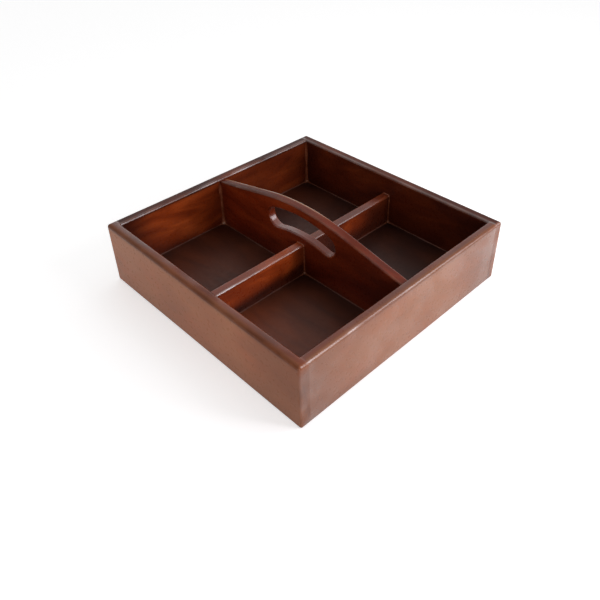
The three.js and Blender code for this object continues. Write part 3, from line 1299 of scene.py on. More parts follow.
@dataclass
class HandleBoard:
    """The arched handle board with its grip slot.

    The surface is a grid that closes both ways. One way runs round the slot and the board's outline
    together. The other runs across: the slot's wall, the front face, the outline's edge, the rear
    face, and back to the slot's wall. The slot and the arch are rounded, the foot and ends square.
    """

    finish: StainedLacquer
    crown_radius: float = 235 * MM
    ramp_angle: float = math.radians(12)
    edge_round: float = 2 * MM
    grip_bar: float = 9.5 * MM
    grip_height: float = 20.5 * MM
    grip_length: float = 86 * MM
    grip_radius: float = 120 * MM
    lap_half: float = 4.65 * MM
    lap_top: float = 26.4 * MM
    arch_steps: int = 72
    end_steps: int = 16
    foot_steps: int = 16
    lap_steps: int = 4
    end_crowding: float = 1.6
    # Painted shade on the faces, darker to the right, on the top and in the slot; on the top less to the
    # right, more at the front left.
    face_shade: tuple[float, float] = (0.15, 0.58)
    top_shade: float = 0.72
    slot_shade: float = 0.48
    right_less_shade: float = 0.14
    front_more_shade: float = 0.24
    # A painted highlight along the rear edge of the top: shade taken off, pale stain put on.
    highlight_shade_off: float = 0.85
    highlight_pale: float = 0.8
    front_round: float = 0.4
    round_run_out: float = 3 * MM
    # Painted shade along the foot, by the walls and where the divider meets the board.
    foot_shade: PaintedShadeBand = PaintedShadeBand(0.5, 7 * MM)
    end_shade: PaintedShadeBand = PaintedShadeBand(0.45, 10 * MM)
    lap_shade: PaintedShadeBand = PaintedShadeBand(0.4, 9 * MM)
    end: float = field(init=False)
    half_thickness: float = field(init=False)
    foot: float = field(init=False)
    crown: float = field(init=False)

    def __post_init__(self) -> None:
        """Takes the board's outer sizes from its CAD node."""
        low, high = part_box("handle_board")
        self.end, self.half_thickness, self.foot, self.crown = high[0], high[1], low[2], high[2]

    def height_at_wall(self) -> float:
        """Height of the top edge where it meets a wall's inner face."""
        return float(self.arch(room()[0]))

    def arch(self, x: Array) -> Array:
        """Height of the top edge: a circle over the middle, then straight runs that fall on both sides.

        Args:
            x: Places along the board.

        Returns:
            Heights.
        """
        centre = self.crown - self.crown_radius
        start = self.crown_radius * math.sin(self.ramp_angle)
        middle = centre + np.sqrt(self.crown_radius**2 - np.minimum(np.abs(x), start) ** 2)
        return middle - np.maximum(np.abs(x) - start, 0) * math.tan(self.ramp_angle)

    def outline(self) -> Array:
        """The board's outline, clockwise from the top of its left end, with the lap cut from below."""
        x = np.linspace(-self.end, self.end, self.arch_steps, endpoint=False)
        tip = float(self.arch(np.array(self.end)))
        share = np.linspace(0, 1, self.end_steps, endpoint=False)
        fall, climb = share**self.end_crowding, 1 - (1 - share) ** self.end_crowding
        side_z = tip + (self.foot - tip) * fall
        run = np.linspace(self.end, self.lap_half, self.foot_steps, endpoint=False)
        rise = np.linspace(self.foot, self.lap_top, self.lap_steps, endpoint=False)
        over = np.linspace(self.lap_half, -self.lap_half, self.lap_steps, endpoint=False)
        sink = np.linspace(self.lap_top, self.foot, self.lap_steps, endpoint=False)
        away = np.linspace(-self.lap_half, -self.end, self.foot_steps, endpoint=False)
        flat = np.full(self.lap_steps, self.lap_half)
        parts = [
            (x, self.arch(x)),
            (np.full_like(fall, self.end), side_z),
            (run, np.full_like(run, self.foot)),
            (flat, rise),
            (over, np.full_like(over, self.lap_top)),
            (-flat, sink),
            (away, np.full_like(away, self.foot)),
            (np.full_like(fall, -self.end), self.foot + (tip - self.foot) * climb),
        ]
        return np.concatenate([np.stack(part, axis=-1) for part in parts])

    def slot(self) -> Array:
        """The grip slot's outline in the same steps: two arcs about one centre, closed by half rounds."""
        half = self.grip_height / 2
        middle = self.crown - self.grip_bar - half
        centre = middle - self.grip_radius
        end_x = self.grip_length / 2 - half
        spread = math.asin(end_x / self.grip_radius)
        end_z = centre + self.grip_radius * math.cos(spread)
        right, left = math.pi / 2 - spread, math.pi / 2 + spread
        upper = np.linspace(left, right, self.arch_steps, endpoint=False)
        turn = np.linspace(0, math.pi, self.end_steps, endpoint=False)
        sill_radius = self.grip_radius - half
        tip = sill_radius * math.cos(right)
        near, lap = self.lap_half + 0.6 * MM, self.lap_half
        stops = [(tip, near, self.foot_steps), (near, lap, self.lap_steps), (lap, -lap, self.lap_steps)]
        stops += [(-lap, -near, self.lap_steps), (-near, -tip, self.foot_steps)]
        sill_x = np.concatenate([np.linspace(*stop, endpoint=False) for stop in stops])
        sill = np.arccos(sill_x / sill_radius)

        def round_about(x: float, z: float, radius: float, angle: Array) -> Array:
            """Places on a circle."""
            return np.stack([x + radius * np.cos(angle), z + radius * np.sin(angle)], axis=-1)

        return np.concatenate(
            [
                round_about(0, centre, self.grip_radius + half, upper),
                round_about(end_x, end_z, half, right - turn),
                round_about(0, centre, sill_radius, sill),
                round_about(-end_x, end_z, half, left + math.pi - turn),
            ]
        )

    @staticmethod
    def outward(loop: Array) -> Array:
        """Unit normals of a clockwise loop, to its outside.

        Args:
            loop: Places in X and Z.

        Returns:
            Normals in X and Z.
        """
        step = np.roll(loop, -1, axis=0) - np.roll(loop, 1, axis=0)
        normal = np.stack([-step[:, 1], step[:, 0]], axis=-1)
        return normal / np.linalg.norm(normal, axis=1, keepdims=True)

    def outline_round(self, edge: Array) -> Array:
        """Radius of the round along the outline: full over the arch, run out down the ends, none below.

        Args:
            edge: The outline.

        Returns:
            Radius at each place.
        """
        over_arch = np.arange(len(edge)) < self.arch_steps
        tip = float(self.arch(np.array(self.end)))
        ends = np.abs(np.abs(edge[:, 0]) - self.end) < WELD_GRID
        run_out = self.edge_round * np.clip(1 - (tip - edge[:, 1]) / self.round_run_out, 0, 1)
        return np.where(ends, run_out, np.where(over_arch, self.edge_round, 0.0))

    def skin(self) -> Skin:
        """Works out the board's surface.

        Returns:
            The surface, in place.
        """
        edge, grip = self.outline(), self.slot()
        edge_normal, grip_normal = self.outward(edge), self.outward(grip)
        quarter = np.linspace(0, math.pi / 2, ARC_STEPS + 1)
        across = np.array([0.02, 0.08, 0.2, 0.35, 0.5, 0.65, 0.8, 0.92, 0.98])
        r_in, r_out = self.edge_round, self.outline_round(edge)[:, None]
        t = self.half_thickness
        one = np.ones((len(edge), 1))

        grip_out = r_in * (1 - np.cos(quarter)) * one
        grip_y = (t - r_in + r_in * np.sin(quarter)) * one
        edge_in = r_out * (1 - np.sin(quarter))
        edge_y = t - r_out + r_out * np.cos(quarter)

        near = grip[:, None] + grip_normal[:, None] * grip_out[..., None]
        far = edge[:, None] - edge_normal[:, None] * edge_in[..., None]
        face = near[:, -1:] + (far[:, :1] - near[:, -1:]) * across[:, None]
        wall_y = np.array([0.0, 0.5, 0.9]) * (t - r_in) * one
        rim_y = (t - r_out) * np.array([0.9, 0.5, 0.0])
        grip_wall = np.repeat(grip[:, None], wall_y.shape[1], axis=1)
        edge_wall = np.repeat(edge[:, None], rim_y.shape[1], axis=1)
        plan = np.concatenate([grip_wall, near, face, far, edge_wall], axis=1)
        depth = np.concatenate([wall_y, grip_y, t * np.ones(face.shape[:2]), edge_y, rim_y], axis=1)
        wear = np.sin(2 * quarter) * one
        plain = np.zeros_like(wall_y)
        flat = np.zeros(face.shape[:2])
        rub = np.concatenate([plain, wear, flat, wear * (r_out > 0), plain], axis=1)
        rim = np.concatenate([plain + 1, np.cos(quarter) * one, flat, 0 * wear, plain], axis=1)
        crest = fade(self.arch(plan[..., 0]) - CREST_START * self.edge_round - plan[..., 1], CREST_REACH)

        def both(front: Array) -> Array:
            """Joins the front half of the columns and their mirror image behind."""
            return np.concatenate([front, front[:, -2:0:-1]], axis=1)

        sign = np.concatenate([np.full(depth.shape[1], -1.0), np.ones(depth.shape[1] - 2)])
        full = both(plan)
        points = np.stack([full[..., 0], both(depth) * sign, full[..., 1]], axis=-1)
        rub, rim, crest = both(rub), both(rim), both(crest)
        painted_shade, pale_stain_and_sheen, sheen = self.coats(points, rub, rim, crest)
        return Skin(points, painted_shade, rub, pale_stain_and_sheen, sheen, rows_close=True)

    def coats(self, points: Array, rub: Array, rim: Array, crest: Array) -> tuple[Array, Array, Array]:
        """Painted shade, paler stain and clear coat: the faces, then the top, then the slot.

        The top's painted shade is lighter on its right half and deeper at the front of its left half.
        Along the rear edge of its left half and its middle runs a painted highlight: pale, unshaded,
        coated.

        Args:
            points: Places on the board.
            rub: Wear, which is greatest in the middle of a round.
            rim: 1 in the slot and 0 on the faces.
            crest: 1 on the top and 0 on the faces.

        Returns:
            Painted shade, paler stain with the painted highlight, and weight of the clear coat at each
            place.
        """
        x, y = points[..., 0], points[..., 1]
        dark_front = ramp(-y, -1 * MM, 2 * MM) * ramp(-x, 0, 50 * MM)
        top = self.top_shade - self.right_less_shade * ramp(x, 0, 60 * MM) + self.front_more_shade * dark_front
        painted_shade = blend(blend(self.painted_shading(points), top, crest), self.slot_shade, rim)
        # Painted highlight along the rear edge of the top.
        worn = crest * ramp(y, 1.6 * MM, 3 * MM) * ramp(-x, -45 * MM, -5 * MM)
        sheen = blend(HANDLE_COAT, TOP_COAT * ramp(x, -60 * MM, 10 * MM), crest)
        sheen = blend(sheen, SLOT_COAT, rim)
        rounds = np.where(y > 0, ROUND_COAT, self.front_round * ROUND_COAT) * rub
        sheen = np.maximum(np.maximum(sheen, rounds), worn)
        return painted_shade * (1 - self.highlight_shade_off * worn), self.highlight_pale * worn, sheen

    def painted_shading(self, points: Array) -> Array:
        """Painted shade on the faces, darker to the right, along the foot, at the ends and where the
        divider meets the board.

        Args:
            points: Places on the board.

        Returns:
            Share of painted shade at each place.
        """
        x, z = np.abs(points[..., 0]), points[..., 2]
        left, right = self.face_shade
        face = blend(left, right, ramp(points[..., 0], -20 * MM, 40 * MM))
        foot = self.foot_shade.at(z - self.foot)
        ends = self.end_shade.at(room()[0] - x)
        lap = self.lap_shade.at(x - self.lap_half) * (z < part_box("cross_divider")[1][2])
        return layered(face, foot, ends, lap)

    def build(self) -> bpy.types.Object:
        """Builds and dresses the board."""
        name = "handle_board_arch"
        return add_piece(name, self.skin().mesh(name), self.finish.material(), WOOD_SLOT, "handle_board")


@dataclass
class CrossDivider:
    """The low divider across the tray, with a rounded top and a lap cut from above for the handle."""

    finish: StainedLacquer
    edge_round: float = 2 * MM
    lap_half: float = 4.65 * MM
    lap_height: float = 26.25 * MM
    # Painted shade on the top, more on its rear half; painted shadow towards the back wall, beside the
    # handle and in a band along the foot.
    top_shade: float = 0.65
    rear_top_shade: float = 0.13
    rear_shade: float = 0.06
    far_shade: float = 0.86
    shade_before_lap: float = 0.85
    shade_behind_lap: float = 0.93
    rear_dull: float = 0.7
    coat_share: float = 0.5
    foot_shadow_band: tuple[float, float] = (13 * MM, 20 * MM)
    behind_lap_top_shade: PaintedShadeBand = PaintedShadeBand(0.15, 30 * MM)
    end_shade: PaintedShadeBand = PaintedShadeBand(0.4, 5 * MM)
    row_step: float = 4 * MM
    face_steps: int = 10

    def skin(self) -> Skin:
        """Works out the divider: rows along Y, columns round a section with quarter rounds at the top.

        Returns:
            The surface, in place.
        """
        low, high = (np.array(corner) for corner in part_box("cross_divider"))
        half, foot, top, r = high[0], low[2], high[2], self.edge_round
        count = round(2 * high[1] / self.row_step) + 1
        plain = np.linspace(-high[1], high[1], count)
        along, moved = beside_cuts(plain, np.array([self.lap_half, -self.lap_half]))
        quarter = np.linspace(0, math.pi / 2, ARC_STEPS + 1)
        face = np.concatenate([[foot], supported(foot, top - r, self.face_steps, FACE_MARGIN)])
        flat = np.linspace(half - r, -half + r, 7)[1:-1]
        x = np.concatenate([np.full_like(face, half), half - r + r * np.cos(quarter), flat])
        z = np.concatenate([face, top - r + r * np.sin(quarter), np.full_like(flat, top)])
        wear = np.concatenate([0 * face, np.sin(2 * quarter), 0 * flat])
        side = len(face) + len(quarter)
        x = np.concatenate([x, -x[:side][::-1]])
        z = np.concatenate([z, z[:side][::-1]])
        wear = np.concatenate([wear, wear[:side][::-1]])
        shape = (len(along), len(x))
        height = np.where(np.abs(moved)[:, None] < self.lap_half, np.minimum(z, self.lap_height), z)
        points = np.stack(
            [np.broadcast_to(x, shape), np.broadcast_to(along[:, None], shape), height], axis=-1
        )
        crest = fade(top - CREST_START * r - points[..., 2], CREST_REACH)
        rear = points[..., 1]
        past_lap = ramp(rear, 0, 10 * MM)
        # Painted shade on the top, more on the rear half and just behind the handle.
        top_shade = self.top_shade + self.rear_top_shade * past_lap + self.behind_lap_top_shade.at(rear) * (rear > 0)
        painted_shade = blend(self.painted_shading(points, foot), top_shade, crest)
        plain_coat = self.coat_share * blend(FACE_COAT, TOP_COAT, crest)
        sheen = np.maximum(plain_coat, ROUND_COAT * wear * (1 - self.rear_dull * past_lap))
        return Skin(points, painted_shade, wear, sheen=sheen)

    def painted_shading(self, points: Array, foot: float) -> Array:
        """Painted shade and shadow on the faces: towards the back wall, along the foot, at the walls and
        beside the handle.

        Args:
            points: Places on the divider.
            foot: Height of its foot.

        Returns:
            Share of painted shade at each place.
        """
        y, z = np.abs(points[..., 1]), points[..., 2]
        back = points[..., 1]
        # Painted shadow on the rear half's face, deepening towards the back wall.
        face = self.rear_shade * ramp(back, 0, 4 * MM) + self.far_shade * ramp(back, 58 * MM, 94 * MM)
        band = blend(*self.foot_shadow_band, ramp(back, -room()[1], 0))
        # Painted shadow: a dark band along the foot, taller towards the handle.
        low = ramp(foot - z, -band, -0.3 * band)
        ends = self.end_shade.at(room()[1] - y)
        # Painted shadow beside the handle, on both halves.
        before = self.shade_before_lap * ramp(-y, -26 * MM, -self.lap_half)
        behind = self.shade_behind_lap * ramp(-y, -54 * MM, -38 * MM)
        return layered(face, low, ends, np.where(back < 0, before, behind))

    def build(self) -> bpy.types.Object:
        """Builds and dresses the divider."""
        name = "cross_divider_board"
        return add_piece(name, self.skin().mesh(name), self.finish.material(), WOOD_SLOT, "cross_divider")


@dataclass(frozen=True)
class BeadTops:
    """Heights at which the upright beads end: below the rounded edges of what they stand against."""

    wall: float
    handle: float
    divider: float


@dataclass
class LacquerBeads:
    """Thin beads of lacquer in the inner joints of one compartment, thicker in its corners.

    One bead runs round the floor, and four stand in the upright corners, each with a drop at its foot.
    """

    left: bool
    front: bool
    pool: bpy.types.Material
    tops: BeadTops
    bead: float = 0.8 * MM
    upright_bead: float = 1.8 * MM
    blob: float = 2.4 * MM
    spill: float = 3 * MM
    drop: float = 1.7 * MM
    floor_blob: float = 0.5
    upright_blob: float = 0.6
    drop_flat: float = 0.85
    side_steps: int = 90
    round_steps: int = 6
    floor: float = field(init=False)
    low: Array = field(init=False)
    high: Array = field(init=False)

    def __post_init__(self) -> None:
        """Takes the compartment's room from the CAD nodes round it."""
        near = np.array([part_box("cross_divider")[1][0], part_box("handle_board")[1][1]])
        mirrored = np.array([self.left, self.front])
        self.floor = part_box("base_panel")[1][2]
        self.low = np.where(mirrored, -room(), near)
        self.high = np.where(mirrored, -near, room())

    def corner(self, x_high: bool, y_high: bool) -> tuple[Array, Array]:
        """Place of one upright corner in plan, and the signs of the ways from it into the compartment.

        Args:
            x_high: True at the compartment's right end.
            y_high: True at its rear end.

        Returns:
            The place and the signs.
        """
        return np.where([x_high, y_high], self.high, self.low), np.where([x_high, y_high], -1, 1)

    def unevenness(self, run: Array, seed: float) -> Array:
        """How thick the bead is along its run, from about 0.75 to 1.25: two slow sines.

        Args:
            run: Distance along the bead.
            seed: Shifts the waves, so that no two beads look alike.

        Returns:
            The factor.
        """
        return 1 + 0.15 * np.sin(run / (7.3 * MM) + 7 * seed) + 0.1 * np.sin(run / (3.1 * MM) + 3 * seed)

    def ring(self) -> Skin:
        """The bead round the floor.

        Returns:
            The surface, in place.
        """
        side = np.linspace(-1, 1, self.side_steps, endpoint=False)
        one = np.ones_like(side)
        unit = np.concatenate(
            [np.stack(p, axis=-1) for p in ((side, -one), (one, side), (-side, one), (-one, -side))]
        )
        half = (self.high - self.low) / 2
        middle = (self.high + self.low) / 2
        gap = half.mean() * (1 - np.abs(unit).min(axis=1))
        run = np.arange(len(unit)) * (2 * half.mean() / self.side_steps)
        uneven = self.unevenness(run, middle.sum() / MM)
        radius = self.bead * uneven + self.floor_blob * self.blob * fade(gap, self.spill)
        off_wall, off_floor = hollow_round(radius, self.round_steps)
        plan = middle + unit[:, None] * (half - off_wall[..., None])
        points = np.concatenate([plan, self.floor + off_floor[..., None]], axis=-1)
        # Painted shade: the floor bead is darker and matt along the joints, less so near the corners.
        dull = BEAD_SHADE_AND_MATT * (1 - fade(gap, 2 * self.spill))
        return Skin(points, dull[:, None], rows_close=True)

    def upright(self, x_high: bool, y_high: bool) -> Skin:
        """The bead in one upright corner, which thins out at the top.

        Args:
            x_high: True at the compartment's right end.
            y_high: True at its rear end.

        Returns:
            The surface, in place.
        """
        if x_high == self.left:
            top = self.tops.divider
        else:
            top = self.tops.handle if y_high == self.front else self.tops.wall
        height = np.linspace(self.floor, top, 40)
        corner, sign = self.corner(x_high, y_high)
        uneven = self.unevenness(height, corner.sum() / MM)
        thin = np.clip((top - height) / (4 * MM), 0.15, 1)
        bead = self.bead if x_high == self.left else self.upright_bead
        blob = self.upright_blob * self.blob * fade(height - self.floor, self.spill)
        first, second = hollow_round(bead * uneven * thin + blob, self.round_steps)
        plan = corner + sign * np.stack([first, second], axis=-1)
        rise = np.broadcast_to(height[:, None, None], (*first.shape, 1))
        return Skin(np.concatenate([plan, rise], axis=-1))

    def corner_drop(self, x_high: bool, y_high: bool) -> Skin:
        """The drop at the foot of one upright corner: a ball, a little flattened, sunk into the corner.

        Args:
            x_high: True at the compartment's right end.
            y_high: True at its rear end.

        Returns:
            The surface, in place.
        """
        corner, sign = self.corner(x_high, y_high)
        centre = np.array([*(corner + 0.55 * self.drop * sign), self.floor + 0.4 * self.drop])
        tilt = np.linspace(0, math.pi, 13)[:, None]
        turn = np.linspace(0, 2 * math.pi, 20, endpoint=False)
        ring = np.sin(tilt)
        ball = [ring * np.cos(turn), ring * np.sin(turn), self.drop_flat * np.cos(tilt) + 0 * turn]
        # Painted highlight: the drop by the left wall and the handle in the front-left compartment is pale;
        # the others a little.
        thick = self.left and self.front and y_high and not x_high
        return Skin(centre + self.drop * np.stack(ball, axis=-1), pale_stain_and_sheen=0.9 if thick else 0.15)

    def build(self) -> bpy.types.Object:
        """Builds and dresses the compartment's beads as one piece."""
        name = f"lacquer_bead_{'front' if self.front else 'back'}_{'left' if self.left else 'right'}"
        corners = [(x, y) for x in (False, True) for y in (False, True)]
        skins = [self.ring()]
        skins += [self.upright(*corner) for corner in corners]
        skins += [self.corner_drop(*corner) for corner in corners]
        return add_piece(name, joined(name, skins), self.pool, WOOD_SLOT)


@dataclass
class DividerBeads:
    """Fine beads of lacquer over the divider's top where it meets the handle and the two walls.

    Each follows the divider's rounded top from one side to the other. Its section is the same hollow
    quarter round, off the divider along its normal and off the board that it meets along Y.
    """

    pool: bpy.types.Material
    edge_round: float = 2 * MM
    bead: float = 0.55 * MM
    round_steps: int = 5

    def over(self, place: float, sign: int) -> Skin:
        """One bead.

        Args:
            place: Where the face that it lies against stands on Y.
            sign: Which way that face looks.

        Returns:
            The surface, in place.
        """
        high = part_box("cross_divider")[1]
        half, top, r = high[0], high[2], self.edge_round
        quarter = np.linspace(0, math.pi / 2, 9)
        flat = np.linspace(half - r, r - half, 7)[1:-1]
        angle = np.concatenate([quarter, np.full_like(flat, math.pi / 2), quarter + math.pi / 2])
        middle = np.concatenate([np.full_like(quarter, half - r), flat, np.full_like(quarter, r - half)])
        normal = np.stack([np.cos(angle), 0 * angle, np.sin(angle)], axis=-1)
        path = np.stack([middle, 0 * angle + place, 0 * angle + top - r], axis=-1) + r * normal
        off_top, off_face = (part[0] for part in hollow_round(np.array([self.bead]), self.round_steps))
        aside = np.array([0.0, sign, 0.0])
        return Skin(path[:, None] + normal[:, None] * off_top[:, None] + aside * off_face[:, None])

    def build(self) -> bpy.types.Object:
        """Builds and dresses the four beads as one piece."""
        board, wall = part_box("handle_board")[1][1], room()[1]
        skins = [self.over(*face) for face in ((-board, -1), (board, 1), (-wall, 1), (wall, -1))]
        name = "lacquer_bead_divider"
        return add_piece(name, joined(name, skins), self.pool, WOOD_SLOT)


@dataclass
class Tray:
    """The whole tray: four walls, base, handle, divider, lacquer beads and the steel brads.

    Attributes:
        groove_depth: Depth of the base's groove.
        housing_depth: Depth of the housings.
        fit_gap: Glue gap round what sits in a groove or housing.
    """

    groove_depth: float = 4 * MM
    housing_depth: float = 3 * MM
    fit_gap: float = 0.15 * MM
    def recesses(self, side: Side, top: float) -> tuple[Recess, Recess]:
        """The housing and the groove of one wall.

        Args:
            side: Side that the wall stands on.
            top: Height of the board that the wall houses.

        Returns:
            The housing and the groove.
        """
        panel_low, panel_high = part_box("base_panel")
        board_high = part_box("cross_divider" if side.runs_through else "handle_board")[1]
        half = board_high[side.along]
        housing = Recess(half + self.fit_gap, panel_high[2], top + self.fit_gap, self.housing_depth)
        reach = room()[side.along] + self.groove_depth
        groove = Recess(reach, panel_low[2], panel_high[2] + self.fit_gap, self.groove_depth)
        return housing, groove

    def build(self) -> None:
        """Builds every piece in order."""
        handle = HandleBoard(
            StainedLacquer("stained_handle", HANDLE_STAIN, Grain.LENGTHWISE, (3.1, 0.2, 5.2), bend=1.2)
        )
        divider = CrossDivider(
            StainedLacquer(
                "stained_divider",
                WALL_STAIN,
                Grain.CROSSWISE,
                (5.6, 2.4, 0.9),
                coat_rough=0.38,
                coat_bend=2.3,
                # Painted light: a much lighter tone stands in for the light on the divider's faces.
                tone=1.72,
            )
        )
        divider_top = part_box("cross_divider")[1][2]
        for number, side in enumerate(Side):
            grain = Grain.LENGTHWISE if side.runs_through else Grain.CROSSWISE
            look = WALL_LOOKS[side]
            finish = StainedLacquer(
                name=f"stained_{side.node}",
                stain=replace(WALL_STAIN, pale_stain_and_sheen=look.pale_stain_and_sheen),
                grain=grain,
                shift=(0.7 * number, 1.3 * number, 2.1),
                bend=look.bend,
                tone=look.tone,
            )
            housed_top = divider_top if side.runs_through else handle.height_at_wall()
            housing, groove = self.recesses(side, housed_top)
            wall = TrayWall(side, finish, housing, groove, look)
            wall.build()
        panel = StainedLacquer(
            "stained_base",
            FLOOR_STAIN,
            Grain.LENGTHWISE,
            (4.3, 1.1, 0.4),
            gloss=(0.36, 0.5),
            coat=0.025,
            coat_rough=0.3,
            bend=1.36,
        )
        BasePanel(panel).build()
        handle.build()
        divider.build()
        tops = BeadTops(
            wall=wall.height - wall.edge_round,
            handle=handle.height_at_wall() - handle.edge_round,
            divider=divider_top - divider.edge_round,
        )
        pool = LacquerPool().material()
        for left in (True, False):
            for front in (True, False):
                LacquerBeads(left, front, pool, tops).build()
        DividerBeads(pool).build()
        self.dress_brads()

    def dress_brads(self) -> None:
        """Gives the brads, which stay as they are, their steel."""
        steel = DrawnSteel().material()
        brads = [node for name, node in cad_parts.items() if "_brad_" in name]
        for brad in brads:
            brad.data.materials.clear()
            brad.data.materials.append(steel)
        LOG.info("brads: %d kept as they are, in drawn steel", len(brads))


@dataclass(frozen=True)
class SoftLight:
    """A soft rectangular light that faces the tray.

    Attributes:
        name: Name of the light.
        azimuth: Where it stands, from the tray's right side towards its rear.
        elevation: How high it stands.
        size: Its width and height.
        power: Its power in watts.
        colour: Its colour.
        distance: How far it stands from the tray.
        aim: Point that it faces.
    """

    name: str
    azimuth: float
    elevation: float
    size: tuple[float, float]
    power: float
    colour: Colour = (0.98, 0.95, 1.0)
    distance: float = 0.8
    aim: tuple[float, float, float] = (0, 0, 30 * MM)

    def build(self) -> None:
        """Adds the light, which the camera doesn't see."""
        lamp = bpy.data.lights.new(self.name, "AREA")
        lamp.shape = "RECTANGLE"
        lamp.size, lamp.size_y = self.size
        lamp.energy = self.power
        lamp.color = self.colour
        light = bpy.data.objects.new(self.name, lamp)
        bpy.context.scene.collection.objects.link(light)
        level = math.cos(self.elevation)
        way = Vector(
            (level * math.cos(self.azimuth), level * math.sin(self.azimuth), math.sin(self.elevation))
        )
        light.location = self.distance * way
        light.rotation_euler = (Vector(self.aim) - light.location).to_track_quat("-Z", "Y").to_euler()
        light.visible_camera = False


@dataclass
class Studio:
    """A pale floor, a soft sky that is brighter behind the tray, and three soft lights at its right.

    Attributes:
        floor_middle: Radius of the one flat face in the floor's middle.
        floor_reach: Radius up to which the floor is level.
        floor_bend: Radius of the bend by which it rises from there.
        floor_sides: Number of its sides.
        floor_colour: Its colour.
        floor_glow: Strength of the light that it gives where it is seen.
        sky_front: Strength of the sky's dim side.
        sky_back: Strength of its bright side.
        bright_way: Direction of its bright side.
        sky_turn: Cosines of the angles from that direction between which it brightens.
        lights: The soft lights.
    """

    floor_middle: float = 1.0
    floor_reach: float = 9.0
    floor_bend: float = 2.4
    floor_sides: int = 64
    floor_colour: Colour = (0.85, 0.85, 0.85)
    floor_glow: float = 0.5
    sky_front: float = 0.17
    sky_back: float = 0.85
    bright_way: Colour = (-0.5, 0.5, 0.7)
    sky_turn: tuple[float, float] = (0.0, 0.95)
    lights: tuple[SoftLight, ...] = (
        SoftLight("window_light", math.radians(20), math.radians(32), (0.15, 0.6), 1.65),
        SoftLight("side_light", math.radians(42), math.radians(28), (0.21, 0.45), 1.5),
        SoftLight("low_fill", math.radians(-35), math.radians(17), (0.22, 0.16), 0.9),
    )

    def seen(self, sheet: NodeSheet) -> Socket:
        """1 for rays from the camera, from a gloss or through glass, and 0 for others."""
        path = sheet.add("LightPath")
        gloss = sheet.work_out("MAXIMUM", path.outputs["Is Camera Ray"], path.outputs["Is Glossy Ray"])
        return sheet.work_out("MAXIMUM", gloss, path.outputs["Is Transmission Ray"])

    def floor(self) -> None:
        """Makes the floor, which looks white where it is seen and still takes the tray's shadow.

        Its profile runs level and then up a quarter of a circle, far off, and is carried round the middle.
        """
        material, sheet = new_material("pale_floor")
        matt = sheet.add("BsdfDiffuse", {"Color": (*self.floor_colour, 1)}).outputs[0]
        glow = sheet.add("Emission", {"Color": (1, 1, 1, 1), "Strength": self.floor_glow}).outputs[0]
        lit = sheet.add("AddShader", {0: matt, 1: glow}).outputs[0]
        sheet.finish(sheet.add("MixShader", {0: self.seen(sheet), 1: matt, 2: lit}).outputs[0])
        quarter = np.linspace(0, math.pi / 2, 2 * ARC_STEPS)
        radius = np.append(self.floor_middle, self.floor_reach + self.floor_bend * np.sin(quarter))[:, None]
        height = np.append(0, self.floor_bend * (1 - np.cos(quarter)))[:, None]
        turn = np.arange(self.floor_sides) * 2 * math.pi / self.floor_sides
        points = np.stack([radius * np.cos(turn), radius * np.sin(turn), height + 0 * turn], axis=-1)
        place = np.arange(points[..., 0].size).reshape(points.shape[:2])
        after = np.roll(place, -1, axis=1)
        quads = np.stack([place[:-1], place[1:], after[1:], after[:-1]], axis=-1).reshape(-1, 4)
        mesh = bpy.data.meshes.new("studio_floor")
        mesh.from_pydata(points.reshape(-1, 3).tolist(), [], [place[0].tolist(), *quads.tolist()])
        mesh.materials.append(material)
        floor = bpy.data.objects.new("studio_floor", mesh)
        bpy.context.scene.collection.objects.link(floor)

    def sky(self) -> None:
        """Makes a soft sky, brighter on one side."""
        world = bpy.data.worlds.new("soft_sky")
        bpy.context.scene.world = world
        world.use_nodes = True
        sheet = NodeSheet(world.node_tree)
        way = sheet.add("TexCoord").outputs["Generated"]
        toward = Vector(self.bright_way).normalized()
        turn = sheet.add("VectorMath", {0: way, 1: toward}, operation="DOT_PRODUCT").outputs["Value"]
        strength = sheet.spread(turn, self.sky_turn, (self.sky_front, self.sky_back))
        inputs = {"Color": (1, 1, 1, 1), "Strength": strength}
        sheet.finish(sheet.add("Background", inputs).outputs[0], "OutputWorld")

    def build(self) -> None:
        """Builds the floor, the sky and the lights."""
        self.floor()
        self.sky()
        for light in self.lights:
            light.build()
        bpy.context.scene.view_settings.view_transform = "Standard"
        LOG.info("studio: floor, sky and %d soft lights", len(self.lights))


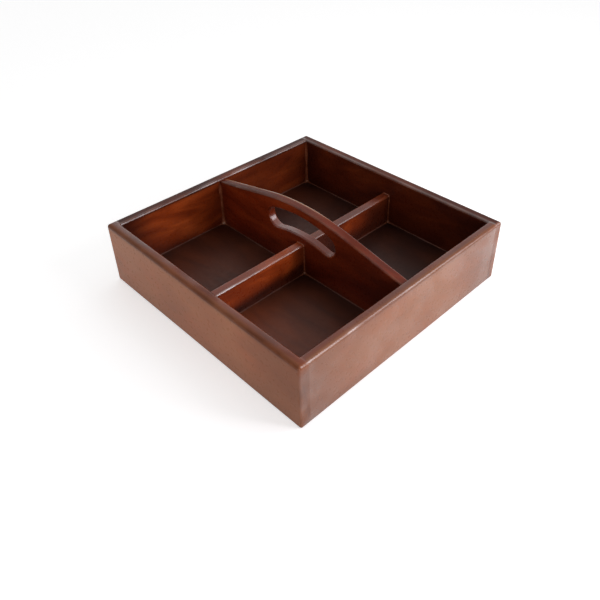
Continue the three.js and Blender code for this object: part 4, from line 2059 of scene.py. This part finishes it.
@dataclass
class PhotoCamera:
    """The camera at the photograph's place, worked out from the tray's corners, in a 600 x 600 frame.

    Attributes:
        azimuth: Where it stands, from the tray's front towards its right.
        elevation: How high it stands.
        roll: Its turn about its own axis.
        distance: How far it stands from the aim.
        aim: Point that it faces.
        slide: How far it slides to the right and up, without turning.
        frame_side: Side of the frame in pixels.
        focal: Focal length in pixels.
        middle: Pixel that its axis meets.
        sensor: Width of the sensor in millimetres.
        clip: Nearest and farthest distance that it sees.
    """

    azimuth: float = math.radians(45.821)
    elevation: float = math.radians(35.349)
    roll: float = math.radians(-0.829)
    distance: float = 599.61 * MM
    aim: tuple[float, float, float] = (0, 0, 38 * MM)
    slide: tuple[float, float] = (7.313 * MM, 4.662 * MM)
    frame_side: float = 600
    focal: float = 644.999
    middle: tuple[float, float] = (312, 240)
    sensor: float = 36
    clip: tuple[float, float] = (0.01, 50)

    def build(self) -> None:
        """Places the camera: its axes from azimuth, elevation and roll, then back from the aim."""
        a, e = self.azimuth, self.elevation
        back = Vector((math.sin(a) * math.cos(e), -math.cos(a) * math.cos(e), math.sin(e)))
        level = Vector((0, 0, 1)).cross(back).normalized()
        upright = back.cross(level)
        right = math.cos(self.roll) * level + math.sin(self.roll) * upright
        up = math.cos(self.roll) * upright - math.sin(self.roll) * level
        place = Vector(self.aim) + back * self.distance + right * self.slide[0] + up * self.slide[1]
        data = bpy.data.cameras.new("photo_camera")
        data.sensor_width = self.sensor
        data.lens = self.focal / self.frame_side * self.sensor
        data.shift_x = (self.frame_side / 2 - self.middle[0]) / self.frame_side
        data.shift_y = (self.middle[1] - self.frame_side / 2) / self.frame_side
        data.clip_start, data.clip_end = self.clip
        camera = bpy.data.objects.new("photo_camera", data)
        bpy.context.scene.collection.objects.link(camera)
        turn = Matrix((right, up, back)).transposed().to_4x4()
        camera.matrix_world = Matrix.Translation(place) @ turn
        bpy.context.scene.camera = camera
        LOG.info("camera: lens %.1f mm at %s", data.lens, tuple(round(v, 3) for v in place))


def main() -> None:
    """Builds the camera, the tray and the studio."""
    logging.basicConfig(level=logging.INFO, format="%(name)s: %(message)s")
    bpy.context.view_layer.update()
    PhotoCamera().build()
    Tray().build()
    Studio().build()


if __name__ == "__main__":
    main()
